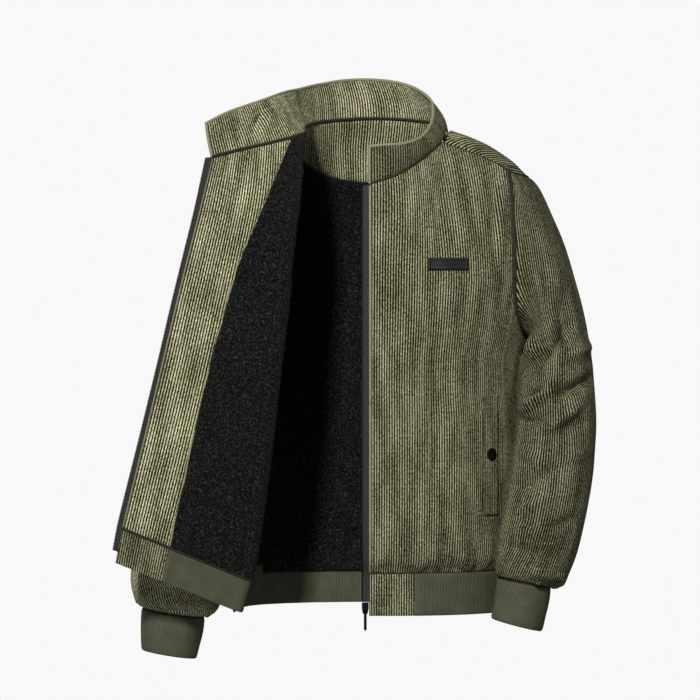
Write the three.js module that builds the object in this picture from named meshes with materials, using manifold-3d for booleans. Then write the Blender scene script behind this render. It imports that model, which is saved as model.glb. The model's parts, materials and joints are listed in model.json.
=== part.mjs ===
import * as THREE from 'three';
import Module from 'manifold-3d';

// Corduroy zip jacket, filled out and empty: the left front hangs in place, the right front is folded open.
// Millimetres. +Z up, the front faces -Y, the wearer's left is +X. The origin is the middle of the neck hole.

// Cloth thicknesses and gaps
const SHELL_WALL = 1.6;
const KNIT_WALL = 3.0;
const FACING_WALL = 1.6;
const LINING_WALL = 3.0;
const LAYER_GAP = 0.3;
const SEAM_GAP = 0.4;
const COLLAR_SEAM_GAP = 0.8;
const LINING_SEAM_GAP = 1.2;
const INNER_DEPTH = SHELL_WALL + LAYER_GAP;
const MITRE_LIMIT = 0.8;

// Levels
const HEM_SEAM = -583;
const HEM_BOTTOM = -639;
const SPLIT_LEVEL = -200;
const UNDERARM_LEVEL = -280;
const ZIP_HALF_GAP = 10;

// How many squares each stretch of the grids has
const LOWER_ROWS = 10;
const UPPER_ROWS = 7;
const FACING_COLS = 5;
const CHEST_COLS = 6;
const SIDE_COLS = 4;
const NECK_COLS = 10;
const FLAP_COLS = 3;
const ROLL_COLS = 6;
const PART_A_COLS = CHEST_COLS;
const COLLAR_ROWS = 3;
const BAND_ROWS = 3;
const CUFF_ROWS = 3;
const SLEEVE_ROWS = 21;
const RING_STEPS = 96;
const SEARCH_ROUNDS = 24;
const ROW_SEARCH_STEP = 0.02;

// Colours of the cloth and trim
const OLIVE = 0x66644f;
const KNIT_OLIVE = 0x4b4d3e;
const SHERPA_BLACK = 0x161616;
const TRIM_BLACK = 0x111211;

// Body rings: half width at the side, depth of the front and of the back, roundness of the ring
const BODY = {
  columns: ['z', 'halfWidth', 'front', 'back', 'round'],
  rows: [
    [-639, 184, 126, 116, 2.2],
    [-615, 186, 128, 117, 2.2],
    [-595, 185, 128, 117, 2.2],
    [-583, 184, 129, 118, 2.2],
    [-568, 189, 137, 124, 2.2],
    [-540, 190, 140, 126, 2.2],
    [-500, 193, 141, 125, 2.2],
    [-440, 194, 142, 123, 2.2],
    [-380, 194, 143, 122, 2.15],
    [-340, 194, 143, 123, 2.05],
    [-300, 199, 142, 125, 2.0],
    [-280, 205, 141, 126, 2.0],
    [-240, 210, 140, 127, 2.15],
    [-200, 213, 138, 128, 2.3],
  ],
};

// The neck seam and the top edge of the collar, from the left zip edge round the back to the right one
const NECK = {
  columns: ['s', 'x', 'y', 'z', 'topX', 'topY', 'topZ', 'bow'],
  rows: [
    [0.0, -10, -104, -71, -10, -98, -20, 3],
    [0.07, 8, -102, -66, 12, -96, -18, 3],
    [0.14, 31, -93, -57, 40, -86, -15, 3],
    [0.2, 61, -74, -37, 62, -66, -5, 4],
    [0.25, 88, -45, -12, 74, -36, 14, 4],
    [0.3, 97, -8, 5, 78, -8, 33, 4],
    [0.35, 94, 25, 14, 76, 22, 50, 3],
    [0.4, 76, 54, 21, 60, 48, 66, 2],
    [0.45, 40, 76, 26, 34, 70, 77, 2],
    [0.5, 0, 84, 28, 0, 80, 82, 2],
    [0.55, -40, 76, 26, -40, 74, 81, 2],
    [0.6, -76, 54, 21, -80, 52, 73, 2],
    [0.65, -94, 25, 14, -106, 20, 64, 2],
    [0.7, -98, -2, 6, -122, -8, 58, 2],
    [0.74, -97, -25, 0, -134, -30, 52, 2],
    [0.785, -108, -50, -6, -150, -52, 44, 2],
    [0.84, -138, -70, -15, -172, -72, 35, 2],
    [0.92, -180, -95, -26, -200, -98, 23, 1],
    [1.0, -218, -118, -37, -226, -118, 8, 1],
  ],
};
const LEFT_NECK_END = 0.25;
const RIGHT_NECK_START = 0.74;
const ROLL_NECK_END = 0.785;

// Forward shoulder seam, from the neck to the armhole; the right one mirrors it
const SHOULDER = {
  columns: ['g', 'x', 'y', 'z'],
  rows: [
    [0, 88, -45, -12],
    [0.33, 121, -49, -23],
    [0.66, 149, -50, -34],
    [1, 176, -50, -48],
  ],
};
const TIP_BULGE = 27;
const TIP_BULGE_POWER = 1.6;
const NECK_BULGE = 12;
const NECK_BULGE_POWER = 4;
const RIDGE_CLOSING = 10;

// Height of the top of the shoulder from the neck out to its tip
const RIDGE = {
  columns: ['g', 'z'],
  rows: [
    [0, 7],
    [0.45, -13],
    [0.8, -36],
    [1, -54],
  ],
};

// Shares of the half ring at which the side piece of a panel starts
const ARM_SHARE = 0.69;
const NECK_SHARE = 0.345;

// Width of the left facing at each row, as a share of the half ring
const FACING_SHARE = {
  columns: ['z', 'share'],
  rows: [
    [-583, 0.255],
    [-360, 0.26],
    [-290, 0.265],
    [-200, 0.29],
  ],
};

// Right front folded open: its zip edge, its roll and the roll's half gap, row by row from hem to neck
const FLAP = {
  columns: ['w', 'edgeX', 'edgeY', 'edgeZ', 'rollX', 'rollY', 'rollZ', 'rollHalf', 'facing'],
  rows: [
    [-0.12, -341, -160, -567, -180, -97, -630, 12, 0.4],
    [0.0, -333, -157, -522, -167, -98, -588, 16, 0.4],
    [0.25, -304, -147, -401, -146, -100, -440, 17, 0.42],
    [0.45, -281, -140, -304, -133, -99, -325, 17, 0.45],
    [0.6, -264, -134, -230, -123, -93, -240, 16, 0.51],
    [0.72, -250, -129, -172, -117, -86, -170, 15, 0.58],
    [0.86, -233.5, -123, -105, -107, -72, -90, 12, 0.74],
    [1.0, -218, -118, -37, -99, -42, -4, 7, 0.93],
  ],
};
const ROLL_SWELL = 1.25;
const PART_A_SWELL = 10;
const PART_A_ARM_SHARE = 0.42;

// Sleeves: outermost and innermost point of each ring, its middle in depth and its half depth
const SLEEVE_COLUMNS = ['k', 'outX', 'outZ', 'inX', 'inZ', 'midY', 'half'];
const LEFT_SLEEVE = {
  columns: SLEEVE_COLUMNS,
  rows: [
    [0, 207, -52, 205, -280, 0, 88],
    [1, 221, -68, 213, -280, -1, 84],
    [2, 236, -102, 216, -286, -5, 78],
    [3, 253, -148, 207, -293, -11, 73],
    [4, 268, -203, 199, -306, -26, 67],
    [5, 279, -260, 192, -322, -46, 61],
    [6, 287, -324, 188, -345, -62, 57],
    [7, 290, -384, 185, -384, -74, 55],
    [8, 288, -430, 181, -422, -84, 54],
    [9, 283, -475, 174, -460, -93, 54],
    [10, 274, -520, 166, -500, -103, 53],
    [11, 264, -556, 159, -540, -112, 51],
    [12, 254, -583, 156, -568, -117, 47],
    [13, 245, -600, 156, -583, -118, 43],
    [14, 229, -602, 158, -589, -118, 38],
  ],
};
const LEFT_CUFF = {
  columns: SLEEVE_COLUMNS,
  rows: [
    [0, 229, -602, 158, -589, -118, 38],
    [1, 226, -622, 155, -608, -119, 38],
    [2, 221, -642, 153, -626, -120, 37],
    [3, 217, -659, 150, -642, -121, 35],
  ],
};
const RIGHT_SLEEVE = {
  columns: SLEEVE_COLUMNS,
  rows: [
    [0, -207, -52, -205, -280, 0, 84],
    [1, -219, -69, -212, -281, 1, 80],
    [2, -230, -104, -214, -287, 1, 74],
    [3, -243, -150, -212, -296, 0, 69],
    [4, -256, -206, -207, -308, -3, 64],
    [5, -268, -266, -201, -325, -7, 61],
    [6, -281, -333, -197, -353, -11, 59],
    [7, -294, -399, -197, -408, -14, 58],
    [8, -306, -463, -202, -470, -16, 57],
    [9, -316, -523, -208, -532, -18, 57],
    [10, -325, -572, -211, -584, -20, 55],
    [11, -328, -596, -211, -608, -21, 52],
    [12, -325, -616, -211, -629, -22, 48],
    [13, -321, -630, -218, -643, -22, 44],
    [14, -315, -637, -230, -650, -22, 40],
  ],
};
const RIGHT_CUFF = {
  columns: SLEEVE_COLUMNS,
  rows: [
    [0, -315, -637, -230, -650, -22, 40],
    [1, -316, -655, -232, -668, -22, 41],
    [2, -316, -674, -237, -687, -22, 39],
    [3, -315, -692, -241, -704, -22, 36],
  ],
};
const SLEEVE_ROUND = 2.1;
const ARMHOLE_MEMORY = [1, 0.72, 0.42, 0.2, 0.07, 0];

// Largest folds: a line on the panel seen from the front, its half width and its height (negative is a trough)
const FOLD_COLUMNS = ['piece', 'fromX', 'fromZ', 'toX', 'toZ', 'half', 'height'];
const FOLDS = [
  ['sleeve_left', 196, -316, 252, -254, 11, -8],
  ['sleeve_left', 212, -268, 191, -310, 10, 6],
  ['sleeve_left', 234, -330, 194, -371, 11, 8],
  ['sleeve_left', 226, -334, 194, -352, 8, -5],
  ['sleeve_left', 234, -354, 280, -326, 10, -7],
  ['sleeve_left', 222, -404, 262, -392, 14, -4],
  ['sleeve_left', 188, -470, 232, -446, 14, -4],
  ['sleeve_left', 176, -546, 226, -560, 9, -5],
  ['sleeve_left', 200, -580, 244, -588, 7, 4],
  ['sleeve_right', -300, -606, -240, -618, 9, -5],
  ['sleeve_right', -250, -590, -222, -600, 8, 5],
  ['front_left', 160, -60, 158, -170, 9, -5],
  ['front_left', 167, -70, 165, -170, 6, 3],
  ['front_left', 144, -500, 166, -530, 8, -5],
  ['front_left', 92, -535, 94, -578, 8, -4],
  ['front_left', 60, -545, 58, -578, 8, 3],
];

const columnIndex = (table, name) => table.columns.indexOf(name);

// Smooth reading of a table between its rows
function read(table, at) {
  const rows = table.rows;
  const last = rows.length - 1;
  let i = 0;
  while (i < last - 1 && at > rows[i + 1][0]) i += 1;
  const [before, from, to, after] = [rows[Math.max(i - 1, 0)], rows[i], rows[i + 1], rows[Math.min(i + 2, last)]];
  const span = to[0] - from[0];
  const u = Math.min(Math.max((at - from[0]) / span, 0), 1);
  const result = {};
  table.columns.forEach((name, c) => {
    const startSlope = ((to[c] - before[c]) / (to[0] - before[0])) * span;
    const endSlope = ((after[c] - from[c]) / (after[0] - from[0])) * span;
    const cubic = 2 * from[c] - 2 * to[c] + startSlope + endSlope;
    const square = 3 * to[c] - 3 * from[c] - 2 * startSlope - endSlope;
    result[name] = ((cubic * u + square) * u + startSlope) * u + from[c];
  });
  return result;
}

const mix = (a, b, u) => a.map((value, i) => value + (b[i] - value) * u);
const plus = (a, b) => a.map((value, i) => value + b[i]);
const minus = (a, b) => a.map((value, i) => value - b[i]);
const times = (a, s) => a.map((value) => value * s);
const dot = (a, b) => a[0] * b[0] + a[1] * b[1] + a[2] * b[2];
const cross = (a, b) => [a[1] * b[2] - a[2] * b[1], a[2] * b[0] - a[0] * b[2], a[0] * b[1] - a[1] * b[0]];
const length = (a) => Math.hypot(...a);
const unit = (a) => times(a, 1 / Math.max(length(a), 1e-9));
const mirrored = ([x, y, z]) => [-x, y, z];

// A quarter of a body ring from the middle (share 0) to the side (share 1); a share under 0 crosses the middle
function bodyPoint(z, share, face) {
  const ring = read(BODY, z);
  const depth = face === 'front' ? -ring.front : ring.back;
  const points = [];
  const lengths = [0];
  for (let i = 0; i <= RING_STEPS; i += 1) {
    const angle = (Math.PI / 2) * (i / RING_STEPS);
    const x = ring.halfWidth * Math.sin(angle) ** (2 / ring.round);
    const y = depth * Math.max(Math.cos(angle), 0) ** (2 / ring.round);
    points.push([x, y, z]);
    if (i > 0) lengths.push(lengths[i - 1] + length(minus(points[i], points[i - 1])));
  }
  const total = lengths[RING_STEPS];
  const target = Math.abs(share) * total;
  let i = 0;
  while (i < RING_STEPS - 1 && lengths[i + 1] < target) i += 1;
  const u = Math.min((target - lengths[i]) / (lengths[i + 1] - lengths[i]), 1);
  const point = mix(points[i], points[i + 1], u);
  return share < 0 ? mirrored(point) : point;
}

// A column over the chest or the back: it rises, then bends over toward the top of the shoulder
const endAngle = (from, to) => Math.acos(Math.min(Math.max(to[1] / from[1], -0.55), 0.8));
function rise(from, to, t) {
  const end = endAngle(from, to);
  const angle = end * t;
  const inward = (1 - Math.cos(angle)) / (1 - Math.cos(end));
  const upward = Math.sin(angle) / Math.sin(end);
  return [
    from[0] + (to[0] - from[0]) * inward,
    from[1] + (to[1] - from[1]) * inward,
    from[2] + (to[2] - from[2]) * upward,
  ];
}

const neckBase = (s) => {
  const row = read(NECK, s);
  return [row.x, row.y, row.z];
};
const shoulderSeam = (g) => {
  const row = read(SHOULDER, g);
  return [row.x, row.y, row.z];
};
const levelOfRow = (row) => HEM_SEAM + (SPLIT_LEVEL - HEM_SEAM) * (row / LOWER_ROWS);
const sideTop = (u) => UNDERARM_LEVEL + (SPLIT_LEVEL - UNDERARM_LEVEL) * (1 - Math.sqrt(1 - (1 - u) ** 2));
const sideLevel = (row, u) => HEM_SEAM + (sideTop(u) - HEM_SEAM) * (row / LOWER_ROWS);
const steps = (count) => Array.from({ length: count + 1 }, (_, i) => i / count);

// The shell's points, shared by neighbouring pieces along their seams
const shellPoints = [];
const shellNames = [];
const known = new Map();
const WELD = 50;
const WELD_FINE = 10000;
function pointId(point, piece) {
  const key = point.map((value) => Math.round(value * WELD)).join(',');
  if (!known.has(key)) {
    known.set(key, shellPoints.length);
    shellPoints.push(point);
    shellNames.push(new Set());
  }
  const id = known.get(key);
  shellNames[id].add(piece);
  return id;
}

// Squares of a grid whose rows run up and whose columns run round, seen from outside
function squaresOf(grid) {
  const squares = [];
  for (let row = 0; row + 1 < grid.length; row += 1) {
    for (let col = 0; col + 1 < grid[row].length; col += 1) {
      squares.push([grid[row][col], grid[row][col + 1], grid[row + 1][col + 1], grid[row + 1][col]]);
    }
  }
  return squares;
}
const gridOf = (rows, cols, piece, at) =>
  Array.from({ length: rows + 1 }, (_, row) => Array.from({ length: cols + 1 }, (_, col) => pointId(at(row, col), piece)));

// Left front: facing columns, chest columns up to the armhole, then the side under the armhole
function leftFrontShare(row, col) {
  const z = levelOfRow(Math.min(row, LOWER_ROWS));
  const facing = read(FACING_SHARE, z).share;
  if (col <= FACING_COLS) return -0.035 + (facing + 0.035) * (col / FACING_COLS);
  return facing + (ARM_SHARE - facing) * ((col - FACING_COLS) / CHEST_COLS);
}
function leftFrontPoint(row, col) {
  const z = levelOfRow(Math.min(row, LOWER_ROWS));
  const share = leftFrontShare(row, col);
  const low = bodyPoint(z, share, 'front');
  if (col === 0) low[0] = -ZIP_HALF_GAP;
  if (row <= LOWER_ROWS) return low;
  const t = (row - LOWER_ROWS) / UPPER_ROWS;
  const inNeck = col <= FACING_COLS;
  const top = inNeck
    ? neckBase(LEFT_NECK_END * (col / FACING_COLS))
    : shoulderSeam((col - FACING_COLS) / CHEST_COLS);
  return rise(low, top, t);
}
const leftFrontSide = (row, col) => {
  const u = col / SIDE_COLS;
  return bodyPoint(sideLevel(row, u), ARM_SHARE + (1 - ARM_SHARE) * u, 'front');
};

// Back: left side, left shoulder, neck, right shoulder, right side
const BACK_MIDDLE_COLS = 2 * CHEST_COLS + NECK_COLS;
function backPoint(row, col, upperRows) {
  const fromLeft = col <= BACK_MIDDLE_COLS / 2;
  const near = fromLeft ? col : BACK_MIDDLE_COLS - col;
  const inNeck = near >= CHEST_COLS;
  const g = inNeck ? 1 : 1 - near / CHEST_COLS;
  const neckShare = inNeck ? NECK_SHARE * (1 - (near - CHEST_COLS) / (NECK_COLS / 2)) : 0;
  const share = inNeck ? neckShare : ARM_SHARE + (NECK_SHARE - ARM_SHARE) * (near / CHEST_COLS);
  const z = levelOfRow(Math.min(row, LOWER_ROWS));
  const half = bodyPoint(z, share, 'back');
  const low = fromLeft ? half : mirrored(half);
  if (row <= LOWER_ROWS) return low;
  const t = (row - LOWER_ROWS) / upperRows;
  const outward = fromLeft ? 1 : -1;
  const quarter = Math.PI / 2;
  if (inNeck) {
    const across = (col - CHEST_COLS) / NECK_COLS;
    const top = neckBase(LEFT_NECK_END + (RIGHT_NECK_START - LEFT_NECK_END) * across);
    const point = rise(low, top, t);
    const edge = Math.abs(2 * across - 1) ** NECK_BULGE_POWER;
    point[0] += outward * NECK_BULGE * edge * overRidge(endAngle(low, top), t);
    return point;
  }
  const top = fromLeft ? shoulderSeam(g) : rightSeam(g);
  const point = rise(low, top, t);
  const end = endAngle(low, top);
  const ridgeZ = read(RIDGE, g).z;
  const fall = (Math.sin(end * t) - Math.sin(end)) / (1 - Math.sin(end));
  const beyond = end * t > quarter;
  point[2] = beyond ? top[2] + (ridgeZ - top[2]) * fall : low[2] + (ridgeZ - low[2]) * Math.sin(end * t);
  const bulge = NECK_BULGE + (TIP_BULGE - NECK_BULGE) * g ** TIP_BULGE_POWER;
  point[0] += outward * bulge * overRidge(end, t);
  return point;
}
// How near a point of a column is to the top of the shoulder, 0 to 1
function overRidge(end, t) {
  const quarter = Math.PI / 2;
  const closing = 1 - t ** RIDGE_CLOSING;
  if (end * t < quarter) return closing * Math.sin(end * t) ** 3;
  return closing * Math.cos((quarter * (end * t - quarter)) / (end - quarter));
}
function rightSeam(g) {
  const start = neckBase(RIGHT_NECK_START);
  const seam = mirrored(shoulderSeam(g));
  const shift = minus(start, mirrored(shoulderSeam(0)));
  return plus(seam, times(shift, (1 - g) ** 2));
}
const backSide = (row, col, left) => {
  const u = left ? 1 - col / SIDE_COLS : col / SIDE_COLS;
  const point = bodyPoint(sideLevel(row, u), ARM_SHARE + (1 - ARM_SHARE) * u, 'back');
  return left ? point : mirrored(point);
};

// Right front: from the side seam to the roll (part A), round the roll, and back out to the zip edge (the flap)
const wOfRow = (row) => {
  const split = 0.745;
  if (row <= LOWER_ROWS) return (split * row) / LOWER_ROWS;
  return split + (1 - split) * ((row - LOWER_ROWS) / UPPER_ROWS);
};
const flapRow = (row) => read(FLAP, wOfRow(row));
const rollStart = (r) => [r.rollX - r.rollHalf * 0.8, r.rollY + r.rollHalf, r.rollZ];
const rollEnd = (r) => [r.rollX - r.rollHalf * 0.8, r.rollY - r.rollHalf, r.rollZ];
function partAPoint(row, share, sideZ) {
  const r = flapRow(row);
  const side = mirrored(bodyPoint(sideZ, 1, 'front'));
  const start = [...rollStart(r).slice(0, 2), sideZ + (r.rollZ - sideZ) * share];
  const point = mix(side, start, share);
  const out = unit([-(start[1] - side[1]), start[0] - side[0], 0]);
  return plus(point, times(out, -PART_A_SWELL * 4 * share * (1 - share)));
}
const rightSide = (row, col) => {
  const u = 1 - col / SIDE_COLS;
  const z = sideLevel(row, u);
  return partAPoint(row, (1 - u) * (1 - PART_A_ARM_SHARE), z);
};
function partA(row, col) {
  const lowRow = Math.min(row, LOWER_ROWS);
  const g = 1 - col / PART_A_COLS;
  const low = partAPoint(lowRow, 1 - PART_A_ARM_SHARE * g, levelOfRow(lowRow));
  if (row <= LOWER_ROWS) return low;
  const t = (row - LOWER_ROWS) / UPPER_ROWS;
  const point = rise(low, rightSeam(g), t);
  const lowStart = partAPoint(LOWER_ROWS, 1, levelOfRow(LOWER_ROWS));
  const want = row === LOWER_ROWS + UPPER_ROWS ? neckBase(RIGHT_NECK_START) : rollStart(flapRow(row));
  const slip = minus(want, rise(lowStart, rightSeam(0), t));
  return plus(point, times(slip, (1 - g) ** 2));
}
function rollPoint(row, col) {
  const u = col / ROLL_COLS;
  const top = row === LOWER_ROWS + UPPER_ROWS;
  if (top) return neckBase(RIGHT_NECK_START + (ROLL_NECK_END - RIGHT_NECK_START) * u);
  const r = flapRow(row);
  const start = row <= LOWER_ROWS ? partAPoint(row, 1, levelOfRow(row)) : rollStart(r);
  const end = flapPoint(row, 0);
  const before = partA(row, PART_A_COLS - 1);
  const edge = [r.edgeX, r.edgeY, r.edgeZ];
  const reach = r.rollHalf * 2 * ROLL_SWELL;
  const leave = plus(start, times(unit(minus(start, before)), reach * 0.62));
  const arrive = plus(end, times(unit(minus(end, edge)), reach * 0.62));
  const v = 1 - u;
  return [0, 1, 2].map((i) => v ** 3 * start[i] + 3 * v * v * u * leave[i] + 3 * v * u * u * arrive[i] + u ** 3 * end[i]);
}
function flapPoint(row, share) {
  const r = flapRow(row);
  const edge = [r.edgeX, r.edgeY, r.edgeZ];
  const point = mix(rollEnd(r), edge, share);
  if (row <= LOWER_ROWS) return point;
  const t = (row - LOWER_ROWS) / UPPER_ROWS;
  const top = flapRow(LOWER_ROWS + UPPER_ROWS);
  const straight = mix(rollEnd(top), [top.edgeX, top.edgeY, top.edgeZ], share);
  const neck = neckBase(ROLL_NECK_END + (1 - ROLL_NECK_END) * share);
  return plus(point, times(minus(neck, straight), t ** 2));
}
const flapLining = (row, col) => flapPoint(row, (1 - flapRow(row).facing) * (col / FLAP_COLS));
const flapFacing = (row, col) => {
  const start = 1 - flapRow(row).facing;
  return flapPoint(row, start + (1 - start) * (col / FACING_COLS));
};

const TOP_ROW = LOWER_ROWS + UPPER_ROWS;
const grids = {
  frontFacing: gridOf(TOP_ROW, FACING_COLS, 'front_left', leftFrontPoint),
  frontChest: gridOf(TOP_ROW, CHEST_COLS, 'front_left', (row, col) => leftFrontPoint(row, col + FACING_COLS)),
  frontSide: gridOf(LOWER_ROWS, SIDE_COLS, 'front_left', leftFrontSide),
  backLeftSide: gridOf(LOWER_ROWS, SIDE_COLS, 'back', (row, col) => backSide(row, col, true)),
  backMiddle: gridOf(TOP_ROW, BACK_MIDDLE_COLS, 'back', (row, col) => backPoint(row, col, UPPER_ROWS)),
  backRightSide: gridOf(LOWER_ROWS, SIDE_COLS, 'back', (row, col) => backSide(row, col, false)),
  rightSide: gridOf(LOWER_ROWS, SIDE_COLS, 'front_right', rightSide),
  partA: gridOf(TOP_ROW, PART_A_COLS, 'front_right', partA),
  roll: gridOf(TOP_ROW, ROLL_COLS, 'front_right', rollPoint),
  flapLining: gridOf(TOP_ROW, FLAP_COLS, 'front_right', flapLining),
  flapFacing: gridOf(TOP_ROW, FACING_COLS, 'front_right', flapFacing),
};

const column = (grid, col, fromRow, toRow) => {
  const ids = [];
  const step = fromRow <= toRow ? 1 : -1;
  for (let row = fromRow; row !== toRow + step; row += step) ids.push(grid[row][col]);
  return ids;
};
const backColumn = (col) => column(grids.backMiddle, col, LOWER_ROWS, TOP_ROW);

// Collar on the neck seam
const neckIds = [
  ...grids.frontFacing[TOP_ROW],
  ...grids.backMiddle[TOP_ROW].slice(CHEST_COLS + 1, CHEST_COLS + NECK_COLS),
  ...grids.roll[TOP_ROW],
  ...grids.flapLining[TOP_ROW].slice(1),
  ...grids.flapFacing[TOP_ROW].slice(1),
];
const neckShares = [
  ...steps(FACING_COLS).map((u) => LEFT_NECK_END * u),
  ...steps(NECK_COLS).slice(1, NECK_COLS).map((u) => LEFT_NECK_END + (RIGHT_NECK_START - LEFT_NECK_END) * u),
  ...steps(ROLL_COLS).map((u) => RIGHT_NECK_START + (ROLL_NECK_END - RIGHT_NECK_START) * u),
  ...steps(FLAP_COLS).slice(1).map((u) => ROLL_NECK_END + (1 - ROLL_NECK_END) * 0.07 * u),
  ...steps(FACING_COLS).slice(1).map((u) => ROLL_NECK_END + (1 - ROLL_NECK_END) * (0.07 + 0.93 * u)),
];
const collarIds = [neckIds];
for (let row = 1; row <= COLLAR_ROWS; row += 1) {
  const u = row / COLLAR_ROWS;
  collarIds.push(neckIds.map((id, i) => {
    const neck = read(NECK, neckShares[i]);
    const base = shellPoints[id];
    const top = [neck.topX, neck.topY, neck.topZ];
    const outward = unit([neck.x, neck.y - 10, 0]);
    const point = plus(mix(base, top, u), times(outward, neck.bow * Math.sin(Math.PI * u)));
    return pointId(point, 'collar_outer');
  }));
}
grids.collar = collarIds;

// Hem band under the body and the folded-open front
const hemIds = [
  ...grids.frontFacing[0],
  ...grids.frontChest[0].slice(1),
  ...grids.frontSide[0].slice(1),
  ...grids.backLeftSide[0].slice(1),
  ...grids.backMiddle[0].slice(1),
  ...grids.backRightSide[0].slice(1),
  ...grids.rightSide[0].slice(1),
  ...grids.partA[0].slice(1),
  ...grids.roll[0].slice(1),
  ...grids.flapLining[0].slice(1),
  ...grids.flapFacing[0].slice(1),
];
const FLAP_START_COL = hemIds.length - 1 - FACING_COLS - FLAP_COLS - ROLL_COLS;
const PART_A_START_COL = FLAP_START_COL - PART_A_COLS;
const ROLL_BAND_RISE = 0.25;
const bandIds = [];
for (let row = 0; row < BAND_ROWS; row += 1) {
  const down = 1 - row / BAND_ROWS;
  bandIds.push(hemIds.map((id, i) => {
    const seam = shellPoints[id];
    const low = read(FLAP, -0.12);
    const high = read(FLAP, 0);
    const nearRoll = Math.min(Math.max((i - PART_A_START_COL) / PART_A_COLS, 0), 1);
    const drop = (HEM_BOTTOM - HEM_SEAM) * (1 - ROLL_BAND_RISE * nearRoll);
    const body = [seam[0] * (1 + 0.006 * Math.sin(Math.PI * down)), seam[1] * (1 - 0.01 * down), seam[2] + drop * down];
    if (i < FLAP_START_COL) return pointId(body, 'hem_band');
    const across = Math.min((seam[0] - high.rollX) / (high.edgeX - high.rollX), 1);
    const reach = Math.max(across, 0);
    const atRoll = minus([low.rollX, low.rollY, low.rollZ], [high.rollX, high.rollY, high.rollZ]);
    const atEdge = minus([low.edgeX, low.edgeY, low.edgeZ], [high.edgeX, high.edgeY, high.edgeZ]);
    const flap = plus(seam, times(mix(atRoll, atEdge, reach), down));
    const blend = Math.min((i - FLAP_START_COL) / (ROLL_COLS / 2), 1);
    return pointId(mix(body, flap, blend), 'hem_band');
  }));
}
bandIds.push(hemIds);

// Sleeves hang from the armholes
function sleeveRings(loop, table, cuffTable, sleeve, cuff, sign) {
  const at = (tableUsed, k) => {
    const r = read(tableUsed, k);
    const out = [r.outX, 0, r.outZ];
    const inner = [r.inX, 0, r.inZ];
    return { middle: [(out[0] + inner[0]) / 2, r.midY, (out[2] + inner[2]) / 2], reach: times(minus(out, inner), 0.5), half: r.half };
  };
  const first = at(table, 0);
  const reachLength = length(first.reach);
  const axis = unit(first.reach);
  const angles = loop.map((id) => {
    const offset = minus(shellPoints[id], first.middle);
    return Math.atan2(-offset[1] / first.half, dot(offset, axis) / reachLength);
  });
  const onRing = (ring, angle) => {
    const along = Math.sign(Math.cos(angle)) * Math.abs(Math.cos(angle)) ** (2 / SLEEVE_ROUND);
    const deep = Math.sign(Math.sin(angle)) * Math.abs(Math.sin(angle)) ** (2 / SLEEVE_ROUND);
    return plus(plus(ring.middle, times(ring.reach, along)), [0, -ring.half * deep, 0]);
  };
  const memory = loop.map((id, i) => minus(shellPoints[id], onRing(first, angles[i])));
  const even = loop.map((_, i) => angles[0] - sign * 2 * Math.PI * (i / loop.length) * -1);
  const grid = [loop.map((id) => id)];
  const lastRow = table.rows.length - 1;
  for (let row = 1; row <= SLEEVE_ROWS; row += 1) {
    const k = lastRow * (row / SLEEVE_ROWS);
    const ring = at(table, k);
    const keep = read({ columns: ['k', 'keep'], rows: ARMHOLE_MEMORY.map((value, i) => [i, value]) }, k).keep;
    grid.push(loop.map((_, i) => {
      let turn = even[i] - angles[i];
      turn -= 2 * Math.PI * Math.round(turn / (2 * Math.PI));
      const angle = angles[i] + turn * Math.min(k / 6, 1);
      return pointId(plus(onRing(ring, angle), times(memory[i], Math.max(keep, 0))), sleeve);
    }));
  }
  const cuffGrid = [grid[SLEEVE_ROWS]];
  for (let row = 1; row <= CUFF_ROWS; row += 1) {
    const ring = at(cuffTable, (cuffTable.rows.length - 1) * (row / CUFF_ROWS));
    cuffGrid.push(loop.map((_, i) => pointId(onRing(ring, even[i]), cuff)));
  }
  const closed = (rows) => rows.map((ids) => [...ids, ids[0]]);
  return [closed(grid), closed(cuffGrid)];
}
const leftLoop = [
  ...column(grids.frontChest, CHEST_COLS, TOP_ROW, LOWER_ROWS),
  ...grids.frontSide[LOWER_ROWS].slice(1),
  ...grids.backLeftSide[LOWER_ROWS].slice(1),
  ...backColumn(0).slice(1, -1),
];
const rightLoop = [
  ...column(grids.backMiddle, BACK_MIDDLE_COLS, TOP_ROW, LOWER_ROWS),
  ...grids.backRightSide[LOWER_ROWS].slice(1),
  ...grids.rightSide[LOWER_ROWS].slice(1),
  ...column(grids.partA, 0, LOWER_ROWS, TOP_ROW).slice(1, -1),
];
[grids.sleeveLeft, grids.cuffLeft] = sleeveRings(leftLoop, LEFT_SLEEVE, LEFT_CUFF, 'sleeve_left', 'cuff_left', 1);
[grids.sleeveRight, grids.cuffRight] = sleeveRings(rightLoop, RIGHT_SLEEVE, RIGHT_CUFF, 'sleeve_right', 'cuff_right', -1);

// Which squares belong to which piece of the shell
const LEFT_END_COLS = 4;
const RIGHT_END_COLS = FACING_COLS;
const bandSquares = squaresOf(bandIds);
const bandCols = hemIds.length - 1;
const inEnd = (i, left) => (left ? i % bandCols < LEFT_END_COLS : i % bandCols >= bandCols - RIGHT_END_COLS);
const shell = {
  front_left: [grids.frontFacing, grids.frontChest, grids.frontSide].flatMap(squaresOf),
  back: [grids.backLeftSide, grids.backMiddle, grids.backRightSide].flatMap(squaresOf),
  front_right: [grids.rightSide, grids.partA, grids.roll, grids.flapLining, grids.flapFacing].flatMap(squaresOf),
  collar_outer: squaresOf(grids.collar),
  hem_band: bandSquares.filter((_, i) => !inEnd(i, true) && !inEnd(i, false)),
  hem_end_left: bandSquares.filter((_, i) => inEnd(i, true)),
  hem_end_right: bandSquares.filter((_, i) => inEnd(i, false)),
  sleeve_left: squaresOf(grids.sleeveLeft),
  sleeve_right: squaresOf(grids.sleeveRight),
  cuff_left: squaresOf(grids.cuffLeft),
  cuff_right: squaresOf(grids.cuffRight),
};

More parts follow.
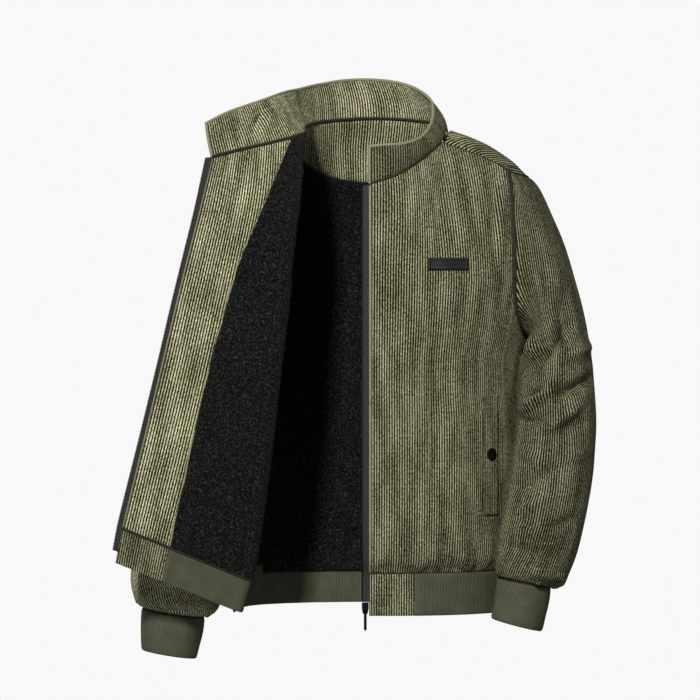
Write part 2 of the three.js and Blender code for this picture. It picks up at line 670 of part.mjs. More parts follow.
// Outward directions at the shell's points, averaged over the squares that meet there
function normalsOf() {
  const normals = shellPoints.map(() => [0, 0, 0]);
  const faces = shellPoints.map(() => []);
  for (const square of Object.values(shell).flat()) {
    const [a, b, c, d] = square.map((id) => shellPoints[id]);
    const face = cross(minus(c, a), minus(d, b));
    if (length(face) < 1e-6) continue;
    square.forEach((id, i) => {
      const here = shellPoints[id];
      const next = unit(minus(shellPoints[square[(i + 1) % 4]], here));
      const back = unit(minus(shellPoints[square[(i + 3) % 4]], here));
      const corner = Math.acos(Math.min(Math.max(dot(next, back), -1), 1));
      normals[id] = plus(normals[id], times(unit(face), corner));
      faces[id].push(unit(face));
    });
  }
  return normals.map((sum, id) => {
    const out = unit(sum);
    const spread = faces[id].reduce((total, face) => total + dot(out, face), 0) / Math.max(faces[id].length, 1);
    return times(out, 1 / Math.max(spread, MITRE_LIMIT));
  });
}

// Folds: each point of the piece near the fold's line moves along its outward direction
function applyFolds(normals) {
  for (const [piece, fromX, fromZ, toX, toZ, half, height] of FOLDS) {
    const [dx, dz] = [toX - fromX, toZ - fromZ];
    const size = dx * dx + dz * dz;
    shellPoints.forEach((point, id) => {
      if (!shellNames[id].has(piece) || normals[id][1] > 0) return;
      const along = ((point[0] - fromX) * dx + (point[2] - fromZ) * dz) / size;
      const held = Math.min(Math.max(along, 0), 1);
      const away = Math.hypot(point[0] - fromX - dx * held, point[2] - fromZ - dz * held) / half;
      const front = Math.max(-unit(normals[id])[1], 0);
      const move = height * Math.exp(-away * away) * front;
      shellPoints[id] = plus(point, times(unit(normals[id]), move));
    });
  }
}
applyFolds(normalsOf());
const shellNormals = normalsOf();

// A wall of cloth on some squares, between two depths under the shell's outside
function wallOn(squares, outerDepth, innerDepth, gap = SEAM_GAP) {
  const edges = new Map();
  for (const square of squares) {
    square.forEach((id, i) => edges.set(`${id},${square[(i + 1) % 4]}`, square));
  }
  const rim = [];
  const pull = new Map();
  for (const [key, square] of edges) {
    const [a, b] = key.split(',').map(Number);
    if (a === b || edges.has(`${b},${a}`)) continue;
    rim.push([a, b]);
    const middle = times(square.reduce((sum, id) => plus(sum, shellPoints[id]), [0, 0, 0]), 1 / 4);
    const along = unit(minus(shellPoints[b], shellPoints[a]));
    const toMiddle = minus(middle, shellPoints[a]);
    const inward = unit(minus(toMiddle, times(along, dot(toMiddle, along))));
    for (const id of [a, b]) pull.set(id, [...(pull.get(id) ?? []), inward]);
  }
  const places = new Map();
  const positions = [];
  const place = (id, depth) => {
    const key = `${id},${depth}`;
    if (!places.has(key)) {
      places.set(key, positions.length / 3);
      const pulls = pull.get(id) ?? [];
      const sum = pulls.reduce((total, p) => plus(total, p), [0, 0, 0]);
      const inward = pulls.length ? times(unit(sum), gap / 2 / Math.max(dot(unit(sum), pulls[0]), 0.5)) : [0, 0, 0];
      positions.push(...minus(plus(shellPoints[id], inward), times(shellNormals[id], depth)));
    }
    return places.get(key);
  };
  const indices = [];
  const triangle = (a, b, c) => {
    if (a !== b && b !== c && a !== c) indices.push(a, b, c);
  };
  const quad = (a, b, c, d) => {
    triangle(a, b, c);
    triangle(a, c, d);
  };
  for (const square of squares) {
    const [a, b, c, d] = square.map((id) => shellPoints[id]);
    const turned = length(minus(b, d)) < length(minus(a, c));
    const [p, q, r, s] = turned ? [...square.slice(1), square[0]] : square;
    quad(...[p, q, r, s].map((id) => place(id, outerDepth)));
    quad(...[p, s, r, q].map((id) => place(id, innerDepth)));
  }
  for (const [a, b] of rim) {
    quad(place(b, outerDepth), place(a, outerDepth), place(a, innerDepth), place(b, innerDepth));
  }
  const geometry = new THREE.BufferGeometry();
  geometry.setAttribute('position', new THREE.Float32BufferAttribute(positions, 3));
  geometry.setIndex(indices);
  geometry.computeVertexNormals();
  return geometry;
}

const group = new THREE.Group();
function addPiece(name, geometry, color, roughness = 0.95, metalness = 0) {
  const mesh = new THREE.Mesh(geometry, new THREE.MeshStandardMaterial({ color, roughness, metalness }));
  mesh.name = name;
  group.add(mesh);
}

for (const [name, squares] of Object.entries(shell)) {
  const knit = name === 'hem_band' || name.startsWith('cuff');
  const band = knit || name.startsWith('hem_end');
  const gap = name.startsWith('collar') ? COLLAR_SEAM_GAP : SEAM_GAP;
  addPiece(name, wallOn(squares, 0, band ? KNIT_WALL : SHELL_WALL, gap), knit ? KNIT_OLIVE : OLIVE);
}

// Inside: collar, facings and sherpa linings, on the same points as the shell
const FACING_BACK_ROWS = 3;
const backMiddleLow = grids.backMiddle.slice(0, TOP_ROW - FACING_BACK_ROWS + 1);
const backMiddleTop = grids.backMiddle.slice(TOP_ROW - FACING_BACK_ROWS);
const facings = {
  collar_inner: [[grids.collar], COLLAR_SEAM_GAP],
  facing_left: [[grids.frontFacing], SEAM_GAP],
  facing_right: [[grids.flapFacing], SEAM_GAP],
  facing_back_neck: [[backMiddleTop], SEAM_GAP],
};
for (const [name, [used, gap]] of Object.entries(facings)) {
  addPiece(name, wallOn(used.flatMap(squaresOf), INNER_DEPTH, INNER_DEPTH + FACING_WALL, gap), OLIVE);
}
const linings = {
  lining_left: [grids.frontChest, grids.frontSide],
  lining_right: [grids.rightSide, grids.partA, grids.roll, grids.flapLining],
  lining_back: [grids.backLeftSide, backMiddleLow, grids.backRightSide],
};
for (const [name, used] of Object.entries(linings)) {
  const wall = wallOn(used.flatMap(squaresOf), INNER_DEPTH, INNER_DEPTH + LINING_WALL, LINING_SEAM_GAP);
  addPiece(name, wall, SHERPA_BLACK);
}

// Trim that lies on a panel: its points are the panel's own, moved out
const TRIM_LIFT = 0.7;
const WELT = { fromX: 139.4, toX: 159.8, fromZ: -508, toZ: -349, wall: 1.6, cols: 3, rows: 8 };
const RIGHT_WELT = { fromCol: 1.4, toCol: 3.4 };
const PATCH = { fromX: 66, toX: 120.5, fromZ: -185.5, toZ: -169.2, wall: 1.1, cols: 5, rows: 2 };
const STUD = { x: 150, z: -428, radius: 8.6, rim: 1.1, dome: 1.3, sides: 28 };
const STUD_LIFT = 0.35;

function onGrid(grid, rowAt, colAt) {
  const row = Math.min(Math.floor(rowAt), grid.length - 2);
  const col = Math.min(Math.floor(colAt), grid[0].length - 2);
  const [v, u] = [rowAt - row, colAt - col];
  const corner = (list) => {
    const low = mix(list[grid[row][col]], list[grid[row][col + 1]], u);
    const high = mix(list[grid[row + 1][col]], list[grid[row + 1][col + 1]], u);
    return mix(low, high, v);
  };
  return { point: corner(shellPoints), out: unit(corner(shellNormals)) };
}
function rowAtLevel(z) {
  if (z <= SPLIT_LEVEL) return ((z - HEM_SEAM) / (SPLIT_LEVEL - HEM_SEAM)) * LOWER_ROWS;
  let row = LOWER_ROWS;
  while (onGrid(grids.frontChest, row, 0.5).point[2] < z) row += ROW_SEARCH_STEP;
  return row;
}
function onLeftFront(x, z) {
  const rowAt = rowAtLevel(z);
  let low = 0;
  let high = CHEST_COLS;
  for (let i = 0; i < SEARCH_ROUNDS; i += 1) {
    const middle = (low + high) / 2;
    if (onGrid(grids.frontChest, rowAt, middle).point[0] < x) low = middle;
    else high = middle;
  }
  return onGrid(grids.frontChest, rowAt, low);
}
function slab(cols, rows, lift, wall, at) {
  const positions = [];
  const layers = [lift + wall, lift];
  for (const height of layers) {
    for (let row = 0; row <= rows; row += 1) {
      for (let col = 0; col <= cols; col += 1) {
        const { point, out } = at(col / cols, row / rows);
        positions.push(...plus(point, times(out, height)));
      }
    }
  }
  const id = (layer, row, col) => layer * (rows + 1) * (cols + 1) + row * (cols + 1) + col;
  const indices = [];
  const quad = (a, b, c, d) => indices.push(a, b, c, a, c, d);
  for (let row = 0; row < rows; row += 1) {
    for (let col = 0; col < cols; col += 1) {
      quad(id(0, row, col), id(0, row, col + 1), id(0, row + 1, col + 1), id(0, row + 1, col));
      quad(id(1, row, col), id(1, row + 1, col), id(1, row + 1, col + 1), id(1, row, col + 1));
    }
    quad(id(0, row, 0), id(0, row + 1, 0), id(1, row + 1, 0), id(1, row, 0));
    quad(id(0, row + 1, cols), id(0, row, cols), id(1, row, cols), id(1, row + 1, cols));
  }
  for (let col = 0; col < cols; col += 1) {
    quad(id(0, 0, col + 1), id(0, 0, col), id(1, 0, col), id(1, 0, col + 1));
    quad(id(0, rows, col), id(0, rows, col + 1), id(1, rows, col + 1), id(1, rows, col));
  }
  const geometry = new THREE.BufferGeometry();
  geometry.setAttribute('position', new THREE.Float32BufferAttribute(positions, 3));
  geometry.setIndex(indices);
  geometry.computeVertexNormals();
  return geometry;
}
const leftPlace = (size) => (u, v) =>
  onLeftFront(size.fromX + (size.toX - size.fromX) * u, size.fromZ + (size.toZ - size.fromZ) * v);
const rightPlace = (u, v) => {
  const colAt = RIGHT_WELT.fromCol + (RIGHT_WELT.toCol - RIGHT_WELT.fromCol) * u;
  return onGrid(grids.partA, rowAtLevel(WELT.fromZ + (WELT.toZ - WELT.fromZ) * v), colAt);
};
const STUD_SHARE = (STUD.z - WELT.fromZ) / (WELT.toZ - WELT.fromZ);

// A press stud is a low dome on the welt
function stud({ point, out }) {
  const base = TRIM_LIFT + WELT.wall + STUD_LIFT;
  const profile = [
    [0, base],
    [STUD.radius, base],
    [STUD.radius, base + STUD.rim],
    [STUD.radius * 0.72, base + STUD.rim + STUD.dome * 0.7],
    [STUD.radius * 0.36, base + STUD.rim + STUD.dome * 0.95],
    [0, base + STUD.rim + STUD.dome],
  ].map(([r, h]) => new THREE.Vector2(r, h));
  const geometry = new THREE.LatheGeometry(profile, STUD.sides);
  const turn = new THREE.Quaternion().setFromUnitVectors(new THREE.Vector3(0, 1, 0), new THREE.Vector3(...out));
  geometry.applyQuaternion(turn);
  geometry.translate(...point);
  return geometry;
}
addPiece('pocket_welt_left', slab(WELT.cols, WELT.rows, TRIM_LIFT, WELT.wall, leftPlace(WELT)), OLIVE);
addPiece('pocket_welt_right', slab(WELT.cols, WELT.rows, TRIM_LIFT, WELT.wall, rightPlace), OLIVE);
addPiece('chest_patch', slab(PATCH.cols, PATCH.rows, TRIM_LIFT, PATCH.wall, leftPlace(PATCH)), TRIM_BLACK, 0.7);
addPiece('press_stud_left', stud(onLeftFront(STUD.x, STUD.z)), TRIM_BLACK, 0.35, 0.6);
addPiece('press_stud_right', stud(rightPlace(0.5, STUD_SHARE)), TRIM_BLACK, 0.35, 0.6);

// Zip tapes run beside the front edges from the foot of the band to the neck seam
const TAPE = { wall: 1.1, depth: 0.5, gap: 0.35, leftReach: 9.5, rightReach: 8.5, bottomRows: 1 };
const RIGHT_TAPE_TURN = 0.85;
function tape(ids, inner, reach, turn) {
  const places = ids.map((id, i) => {
    const point = shellPoints[id];
    const out = unit(shellNormals[id]);
    const toward = minus(shellPoints[inner[i]], point);
    const flat = unit(minus(toward, times(out, dot(toward, out))));
    const away = unit(plus(times(flat, -1), times(out, turn)));
    return { point, out: unit(plus(out, times(flat, turn))), away };
  });
  return slab(1, ids.length - 1, -TAPE.depth - TAPE.wall, TAPE.wall, (u, v) => {
    const place = places[Math.round(v * (ids.length - 1))];
    const run = TAPE.gap + (reach - TAPE.gap) * (turn > 0 ? u : 1 - u);
    return { point: plus(place.point, times(place.away, run)), out: place.out };
  });
}
const firstColumn = (grid, fromRow) => grid.slice(fromRow).map((ids) => ids[0]);
const secondColumn = (grid, fromRow) => grid.slice(fromRow).map((ids) => ids[1]);
const lastColumn = (grid, fromRow, back) => grid.slice(fromRow).map((ids) => ids[ids.length - 1 - back]);
const leftEdge = [...firstColumn(bandIds, TAPE.bottomRows), ...firstColumn(grids.frontFacing, 1)];
const leftInner = [...secondColumn(bandIds, TAPE.bottomRows), ...secondColumn(grids.frontFacing, 1)];
const rightEdge = [...lastColumn(bandIds, TAPE.bottomRows, 0), ...lastColumn(grids.flapFacing, 1, 0)];
const rightInner = [...lastColumn(bandIds, TAPE.bottomRows, 1), ...lastColumn(grids.flapFacing, 1, 1)];
addPiece('zip_tape_left', tape(leftEdge, leftInner, TAPE.leftReach, 0), TRIM_BLACK, 0.8);
addPiece('zip_tape_right', tape(rightEdge, rightInner, TAPE.rightReach, RIGHT_TAPE_TURN), TRIM_BLACK, 0.8);

// Zip slider at the foot of the left tape: its bail goes through the window of the hanging pull tab
const SLIDER = { width: 9, foot: 6.4, shoulder: 0.55, tall: 15, thick: 4.8, bevel: 0.6, below: 0.6 };
const BAIL = { wide: 1.5, inner: 1.4, outer: 2.3, forward: 1.9, root: 0.5, up: 1.5, sides: 10 };
const PULL = { width: 3.8, thick: 1.4, bar: 0.7, window: 1.15, windowFoot: 3.4, long: 27.5, sides: 10 };

const wasm = await Module();
wasm.setup();
function solidOf(geometry) {
  const flat = geometry.index ? geometry.toNonIndexed() : geometry;
  const places = new Map();
  const vertProperties = [];
  const triVerts = [];
  const source = flat.getAttribute('position');
  for (let i = 0; i < source.count; i += 1) {
    const point = [source.getX(i), source.getY(i), source.getZ(i)];
    const key = point.map((value) => Math.round(value * WELD_FINE)).join(',');
    if (!places.has(key)) {
      places.set(key, vertProperties.length / 3);
      vertProperties.push(...point);
    }
    triVerts.push(places.get(key));
  }
  return new wasm.Manifold(
    new wasm.Mesh({ numProp: 3, vertProperties: new Float32Array(vertProperties), triVerts: new Uint32Array(triVerts) }),
  );
}
function geometryOf(solid) {
  const mesh = solid.getMesh();
  const positions = [];
  for (let i = 0; i < mesh.vertProperties.length; i += mesh.numProp) {
    positions.push(...mesh.vertProperties.slice(i, i + 3));
  }
  const geometry = new THREE.BufferGeometry();
  geometry.setAttribute('position', new THREE.Float32BufferAttribute(positions, 3));
  geometry.setIndex([...mesh.triVerts]);
  geometry.computeVertexNormals();
  return geometry;
}
const tapeFoot = shellPoints[bandIds[TAPE.bottomRows][0]];
const sliderX = tapeFoot[0] - (TAPE.leftReach + TAPE.gap) / 2;
const sliderTop = tapeFoot[2] - SLIDER.below;
const sliderY = tapeFoot[1] + TAPE.depth + TAPE.wall / 2;
const sliderFront = sliderY - SLIDER.thick / 2;
const hingeY = sliderFront - BAIL.forward;
const hingeZ = sliderTop - SLIDER.tall / 2 - BAIL.up;

function sliderGeometry() {
  const [half, foot, tall, inset] = [SLIDER.width / 2, SLIDER.foot / 2, SLIDER.tall, SLIDER.bevel];
  const outline = new THREE.Shape();
  outline.moveTo(-half + inset, -inset);
  outline.lineTo(-half + inset, -tall * SLIDER.shoulder);
  outline.lineTo(-foot + inset, -tall + inset);
  outline.lineTo(foot - inset, -tall + inset);
  outline.lineTo(half - inset, -tall * SLIDER.shoulder);
  outline.lineTo(half - inset, -inset);
  const depth = SLIDER.thick - 2 * inset;
  const body = new THREE.ExtrudeGeometry(outline, { depth, bevelThickness: inset, bevelSize: inset, bevelSegments: 1 });
  body.rotateX(Math.PI / 2);
  body.translate(sliderX, sliderY + depth / 2, sliderTop);

  const arch = new THREE.Shape();
  arch.moveTo(-BAIL.root, -BAIL.outer);
  arch.lineTo(BAIL.forward, -BAIL.outer);
  arch.absarc(BAIL.forward, 0, BAIL.outer, -Math.PI / 2, Math.PI / 2, false);
  arch.lineTo(-BAIL.root, BAIL.outer);
  const opening = new THREE.Path();
  opening.moveTo(-BAIL.root / 2, -BAIL.inner);
  opening.lineTo(BAIL.forward, -BAIL.inner);
  opening.absarc(BAIL.forward, 0, BAIL.inner, -Math.PI / 2, Math.PI / 2, false);
  opening.lineTo(-BAIL.root / 2, BAIL.inner);
  arch.holes.push(opening);
  const bail = new THREE.ExtrudeGeometry(arch, { depth: BAIL.wide, bevelEnabled: false, curveSegments: BAIL.sides });
  bail.translate(0, 0, -BAIL.wide / 2);
  const [forward, up, across] = [new THREE.Vector3(0, -1, 0), new THREE.Vector3(0, 0, 1), new THREE.Vector3(-1, 0, 0)];
  bail.applyMatrix4(new THREE.Matrix4().makeBasis(forward, up, across));
  bail.translate(sliderX, sliderFront, hingeZ);
  return geometryOf(solidOf(body).add(solidOf(bail)));
}

// The pull tab's top bar sits in the bail; the tab swings forward and up about the bar's line, which runs along X
function pullGeometry() {
  const half = PULL.width / 2;
  const foot = -PULL.long + half;
  const outline = new THREE.Shape();
  outline.moveTo(-half, PULL.bar);
  outline.lineTo(-half, foot);
  outline.absarc(0, foot, half, Math.PI, 2 * Math.PI, false);
  outline.lineTo(half, PULL.bar);
  const opening = new THREE.Path();
  opening.moveTo(-PULL.window, -PULL.bar);
  opening.lineTo(-PULL.window, -PULL.windowFoot);
  opening.lineTo(PULL.window, -PULL.windowFoot);
  opening.lineTo(PULL.window, -PULL.bar);
  outline.holes.push(opening);
  const tab = new THREE.ExtrudeGeometry(outline, { depth: PULL.thick, bevelEnabled: false, curveSegments: PULL.sides });
  tab.translate(0, 0, -PULL.thick / 2);
  tab.rotateX(Math.PI / 2);
  tab.translate(sliderX, hingeY, hingeZ);
  return geometryOf(solidOf(tab));
}
addPiece('zip_slider', sliderGeometry(), TRIM_BLACK, 0.35, 0.7);
addPiece('zip_pull', pullGeometry(), TRIM_BLACK, 0.35, 0.7);

export default group;
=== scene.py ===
import json
import math

import bpy
import numpy as np
from bpy.props import FloatProperty, FloatVectorProperty, PointerProperty
from bpy.types import Operator, Panel, PropertyGroup
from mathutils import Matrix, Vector
from mathutils.bvhtree import BVHTree
from mathutils.kdtree import KDTree

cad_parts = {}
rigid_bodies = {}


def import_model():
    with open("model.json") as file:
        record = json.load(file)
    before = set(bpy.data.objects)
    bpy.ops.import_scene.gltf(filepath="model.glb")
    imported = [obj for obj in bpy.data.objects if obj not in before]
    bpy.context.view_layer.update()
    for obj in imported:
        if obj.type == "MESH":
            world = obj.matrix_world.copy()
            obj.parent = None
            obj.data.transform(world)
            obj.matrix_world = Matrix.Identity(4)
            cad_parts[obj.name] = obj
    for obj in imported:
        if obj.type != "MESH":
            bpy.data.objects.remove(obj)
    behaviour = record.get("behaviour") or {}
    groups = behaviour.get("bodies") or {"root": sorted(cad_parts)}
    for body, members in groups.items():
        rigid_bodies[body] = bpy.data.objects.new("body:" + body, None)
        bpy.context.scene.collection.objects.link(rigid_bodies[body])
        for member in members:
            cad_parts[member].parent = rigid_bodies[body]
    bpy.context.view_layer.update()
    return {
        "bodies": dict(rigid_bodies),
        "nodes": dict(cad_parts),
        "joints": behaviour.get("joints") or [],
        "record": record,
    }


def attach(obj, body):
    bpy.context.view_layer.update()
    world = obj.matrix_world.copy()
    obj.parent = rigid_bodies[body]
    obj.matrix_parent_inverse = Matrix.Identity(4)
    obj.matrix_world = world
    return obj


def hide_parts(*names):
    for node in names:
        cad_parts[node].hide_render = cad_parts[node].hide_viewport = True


bl_info = {
    "name": "Corduroy jacket",
    "version": (1, 0, 0),
    "blender": (4, 5, 0),
    "location": "View3D > Sidebar > Jacket",
    "description": "Builds an open corduroy zip jacket with sherpa lining, filled out and empty",
    "category": "Add Mesh",
}

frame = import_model()

# The jacket's form, in millimetres, as its solids have it: +Z up, the front faces -Y, the wearer's left is +X
MM = 0.001
SHELL_WALL = 1.6
KNIT_WALL = 3.0
FACING_WALL = 1.6
LINING_WALL = 3.0
INNER_DEPTH = SHELL_WALL + 0.3
HEM_SEAM = -583
HEM_BOTTOM = -639
SPLIT_LEVEL = -200
UNDERARM_LEVEL = -280
ZIP_HALF_GAP = 10
LOWER_ROWS = 10
UPPER_ROWS = 7
TOP_ROW = LOWER_ROWS + UPPER_ROWS
FACING_COLS = 5
CHEST_COLS = 6
SIDE_COLS = 4
NECK_COLS = 10
FLAP_COLS = 3
ROLL_COLS = 6
RING_STEPS = 96
BODY = ("z halfWidth front back round", [
    [-639, 184, 126, 116, 2.2],
    [-615, 186, 128, 117, 2.2],
    [-595, 185, 128, 117, 2.2],
    [-583, 184, 129, 118, 2.2],
    [-568, 189, 137, 124, 2.2],
    [-540, 190, 140, 126, 2.2],
    [-500, 193, 141, 125, 2.2],
    [-440, 194, 142, 123, 2.2],
    [-380, 194, 143, 122, 2.15],
    [-340, 194, 143, 123, 2.05],
    [-300, 199, 142, 125, 2.0],
    [-280, 205, 141, 126, 2.0],
    [-240, 210, 140, 127, 2.15],
    [-200, 213, 138, 128, 2.3],
])
NECK = ("s x y z topX topY topZ bow", [
    [0.0, -10, -104, -71, -10, -98, -20, 3],
    [0.07, 8, -102, -66, 12, -96, -18, 3],
    [0.14, 31, -93, -57, 40, -86, -15, 3],
    [0.2, 61, -74, -37, 62, -66, -5, 4],
    [0.25, 88, -45, -12, 74, -36, 14, 4],
    [0.3, 97, -8, 5, 78, -8, 33, 4],
    [0.35, 94, 25, 14, 76, 22, 50, 3],
    [0.4, 76, 54, 21, 60, 48, 66, 2],
    [0.45, 40, 76, 26, 34, 70, 77, 2],
    [0.5, 0, 84, 28, 0, 80, 82, 2],
    [0.55, -40, 76, 26, -40, 74, 81, 2],
    [0.6, -76, 54, 21, -80, 52, 73, 2],
    [0.65, -94, 25, 14, -106, 20, 64, 2],
    [0.7, -98, -2, 6, -122, -8, 58, 2],
    [0.74, -97, -25, 0, -134, -30, 52, 2],
    [0.785, -108, -50, -6, -150, -52, 44, 2],
    [0.84, -138, -70, -15, -172, -72, 35, 2],
    [0.92, -180, -95, -26, -200, -98, 23, 1],
    [1.0, -218, -118, -37, -226, -118, 8, 1],
])
SHOULDER = ("g x y z", [
    [0, 88, -45, -12],
    [0.33, 121, -49, -23],
    [0.66, 149, -50, -34],
    [1, 176, -50, -48],
])
RIDGE = ("g z", [
    [0, 7],
    [0.45, -13],
    [0.8, -36],
    [1, -54],
])
FACING_SHARE = ("z share", [
    [-583, 0.255],
    [-360, 0.26],
    [-290, 0.265],
    [-200, 0.29],
])
FLAP = ("w edgeX edgeY edgeZ rollX rollY rollZ rollHalf facing", [
    [-0.12, -341, -160, -567, -180, -97, -630, 12, 0.4],
    [0.0, -333, -157, -522, -167, -98, -588, 16, 0.4],
    [0.25, -304, -147, -401, -146, -100, -440, 17, 0.42],
    [0.45, -281, -140, -304, -133, -99, -325, 17, 0.45],
    [0.6, -264, -134, -230, -123, -93, -240, 16, 0.51],
    [0.72, -250, -129, -172, -117, -86, -170, 15, 0.58],
    [0.86, -233.5, -123, -105, -107, -72, -90, 12, 0.74],
    [1.0, -218, -118, -37, -99, -42, -4, 7, 0.93],
])
LEFT_SLEEVE = ("k outX outZ inX inZ midY half", [
    [0, 207, -52, 205, -280, 0, 88],
    [1, 221, -68, 213, -280, -1, 84],
    [2, 236, -102, 216, -286, -5, 78],
    [3, 253, -148, 207, -293, -11, 73],
    [4, 268, -203, 199, -306, -26, 67],
    [5, 279, -260, 192, -322, -46, 61],
    [6, 287, -324, 188, -345, -62, 57],
    [7, 290, -384, 185, -384, -74, 55],
    [8, 288, -430, 181, -422, -84, 54],
    [9, 283, -475, 174, -460, -93, 54],
    [10, 274, -520, 166, -500, -103, 53],
    [11, 264, -556, 159, -540, -112, 51],
    [12, 254, -583, 156, -568, -117, 47],
    [13, 245, -600, 156, -583, -118, 43],
    [14, 229, -602, 158, -589, -118, 38],
])
LEFT_CUFF = ("k outX outZ inX inZ midY half", [
    [0, 229, -602, 158, -589, -118, 38],
    [1, 226, -622, 155, -608, -119, 38],
    [2, 221, -642, 153, -626, -120, 37],
    [3, 217, -659, 150, -642, -121, 35],
])
RIGHT_SLEEVE = ("k outX outZ inX inZ midY half", [
    [0, -207, -52, -205, -280, 0, 84],
    [1, -219, -69, -212, -281, 1, 80],
    [2, -230, -104, -214, -287, 1, 74],
    [3, -243, -150, -212, -296, 0, 69],
    [4, -256, -206, -207, -308, -3, 64],
    [5, -268, -266, -201, -325, -7, 61],
    [6, -281, -333, -197, -353, -11, 59],
    [7, -294, -399, -197, -408, -14, 58],
    [8, -306, -463, -202, -470, -16, 57],
    [9, -316, -523, -208, -532, -18, 57],
    [10, -325, -572, -211, -584, -20, 55],
    [11, -328, -596, -211, -608, -21, 52],
    [12, -325, -616, -211, -629, -22, 48],
    [13, -321, -630, -218, -643, -22, 44],
    [14, -315, -637, -230, -650, -22, 40],
])
RIGHT_CUFF = ("k outX outZ inX inZ midY half", [
    [0, -315, -637, -230, -650, -22, 40],
    [1, -316, -655, -232, -668, -22, 41],
    [2, -316, -674, -237, -687, -22, 39],
    [3, -315, -692, -241, -704, -22, 36],
])
LEFT_NECK_END = 0.25
RIGHT_NECK_START = 0.74
ROLL_NECK_END = 0.785
TIP_BULGE = 27
TIP_BULGE_POWER = 1.6
NECK_BULGE = 12
NECK_BULGE_POWER = 4
RIDGE_CLOSING = 10
ARM_SHARE = 0.69
NECK_SHARE = 0.345
ROLL_SWELL = 1.25
PART_A_SWELL = 10
PART_A_ARM_SHARE = 0.42
ROLL_BAND_RISE = 0.25
SLEEVE_ROUND = 2.1
ARMHOLE_MEMORY = ("k keep", [[0, 1], [1, 0.72], [2, 0.42], [3, 0.2], [4, 0.07], [5, 0]])
QUARTER = math.pi / 2
ZIP_SHARE = 0.035
SHOULDER_BEND = (-0.55, 0.8)
ROLL_LEAN = 0.8
ROLL_HANDLE = 0.62
COLLAR_CENTRE_Y = 10
BAND_FLARE = 0.006
BAND_TUCK = 0.01


def read(table, at):
    """Smooth reading of a table between its rows: the value of each named column."""
    names, rows = table
    rows = np.array(rows, float)
    at = np.asarray(at, float)
    last = len(rows) - 1
    i = np.clip(np.searchsorted(rows[:, 0], at, side="left") - 1, 0, last - 1)
    before, start = rows[np.maximum(i - 1, 0)], rows[i]
    end, after = rows[i + 1], rows[np.minimum(i + 2, last)]
    span = (end - start)[..., :1]
    u = np.clip((at[..., None] - start[..., :1]) / span, 0, 1)
    leave = (end - before) / (end - before)[..., :1] * span
    arrive = (after - start) / (after - start)[..., :1] * span
    cubic = 2 * start - 2 * end + leave + arrive
    square = 3 * end - 3 * start - 2 * leave - arrive
    value = ((cubic * u + square) * u + leave) * u + start
    return dict(zip(names.split(), np.moveaxis(value, -1, 0)))


def vec(x, y, z):
    return np.stack(np.broadcast_arrays(x, y, z), -1).astype(float)


def unit(a):
    return a / np.maximum(np.linalg.norm(a, axis=-1, keepdims=True), 1e-9)


def mix(a, b, u):
    return a + (b - a) * np.asarray(u)[..., None]


def mirrored(a):
    return a * np.array([-1, 1, 1])


def smooth(x, low, high):
    t = np.clip((x - low) / (high - low), 0, 1)
    return t * t * (3 - 2 * t)


LATTICE_LEVELS = np.linspace(HEM_BOTTOM, SPLIT_LEVEL, 90)
LATTICE_SHARES = np.linspace(0, 1, 129)


def angle_lattice(face):
    """The ring angle at which each share of a quarter ring's length is reached, level by level."""
    ring = read(BODY, LATTICE_LEVELS)
    angle = np.linspace(0, QUARTER, 4 * RING_STEPS + 1)
    power = 2 / ring["round"][:, None]
    x = ring["halfWidth"][:, None] * np.sin(angle) ** power
    y = ring[face][:, None] * np.maximum(np.cos(angle), 0) ** power
    step = np.hypot(np.diff(x), np.diff(y))
    run = np.concatenate([np.zeros((len(x), 1)), np.cumsum(step, 1)], 1)
    return np.array([np.interp(LATTICE_SHARES, r / r[-1], angle) for r in run])


LATTICES = {"front": angle_lattice("front"), "back": angle_lattice("back")}


def body_point(z, share, face):
    """A point on a body ring; a share under 0 crosses the middle."""
    z, share = np.broadcast_arrays(np.asarray(z, float), np.asarray(share, float))
    lattice = LATTICES[face]
    row = np.clip((z - HEM_BOTTOM) / (SPLIT_LEVEL - HEM_BOTTOM), 0, 1) * (len(lattice) - 1)
    col = np.clip(np.abs(share), 0, 1) * (len(LATTICE_SHARES) - 1)
    r, c = np.minimum(row.astype(int), len(lattice) - 2), np.minimum(col.astype(int), len(LATTICE_SHARES) - 2)
    v, u = row - r, col - c
    angle = (lattice[r, c] * (1 - u) + lattice[r, c + 1] * u) * (1 - v)
    angle += (lattice[r + 1, c] * (1 - u) + lattice[r + 1, c + 1] * u) * v
    ring = read(BODY, z)
    power = 2 / ring["round"]
    x = ring["halfWidth"] * np.sin(angle) ** power * np.where(share < 0, -1, 1)
    y = ring[face] * np.maximum(np.cos(angle), 0) ** power * (-1 if face == "front" else 1)
    return vec(x, y, z)


def end_angle(low, top):
    """How far a column bends over by its top end."""
    return np.arccos(np.clip(top[..., 1] / low[..., 1], *SHOULDER_BEND))


def rise(low, top, t):
    """A column over the chest or the back: it rises, then bends over toward the top of the shoulder."""
    end = end_angle(low, top)
    inward = (1 - np.cos(end * t)) / (1 - np.cos(end))
    upward = np.sin(end * t) / np.sin(end)
    return low + (top - low) * vec(inward, inward, upward)


def over_ridge(end, t):
    """How near a point of a column is to the top of the shoulder, 0 to 1."""
    closing = 1 - t**RIDGE_CLOSING
    angle = end * t
    after = np.cos(QUARTER * (angle - QUARTER) / np.where(end > QUARTER, end - QUARTER, 1))
    return closing * np.where(angle < QUARTER, np.sin(angle) ** 3, after)


def point_of(table, at):
    row = read(table, at)
    return vec(row["x"], row["y"], row["z"])


def neck_base(s):
    return point_of(NECK, s)


def shoulder_seam(g):
    return point_of(SHOULDER, g)


def right_seam(g):
    g = np.asarray(g, float)
    shift = neck_base(RIGHT_NECK_START) - mirrored(shoulder_seam(0.0))
    return mirrored(shoulder_seam(g)) + shift * ((1 - g) ** 2)[..., None]


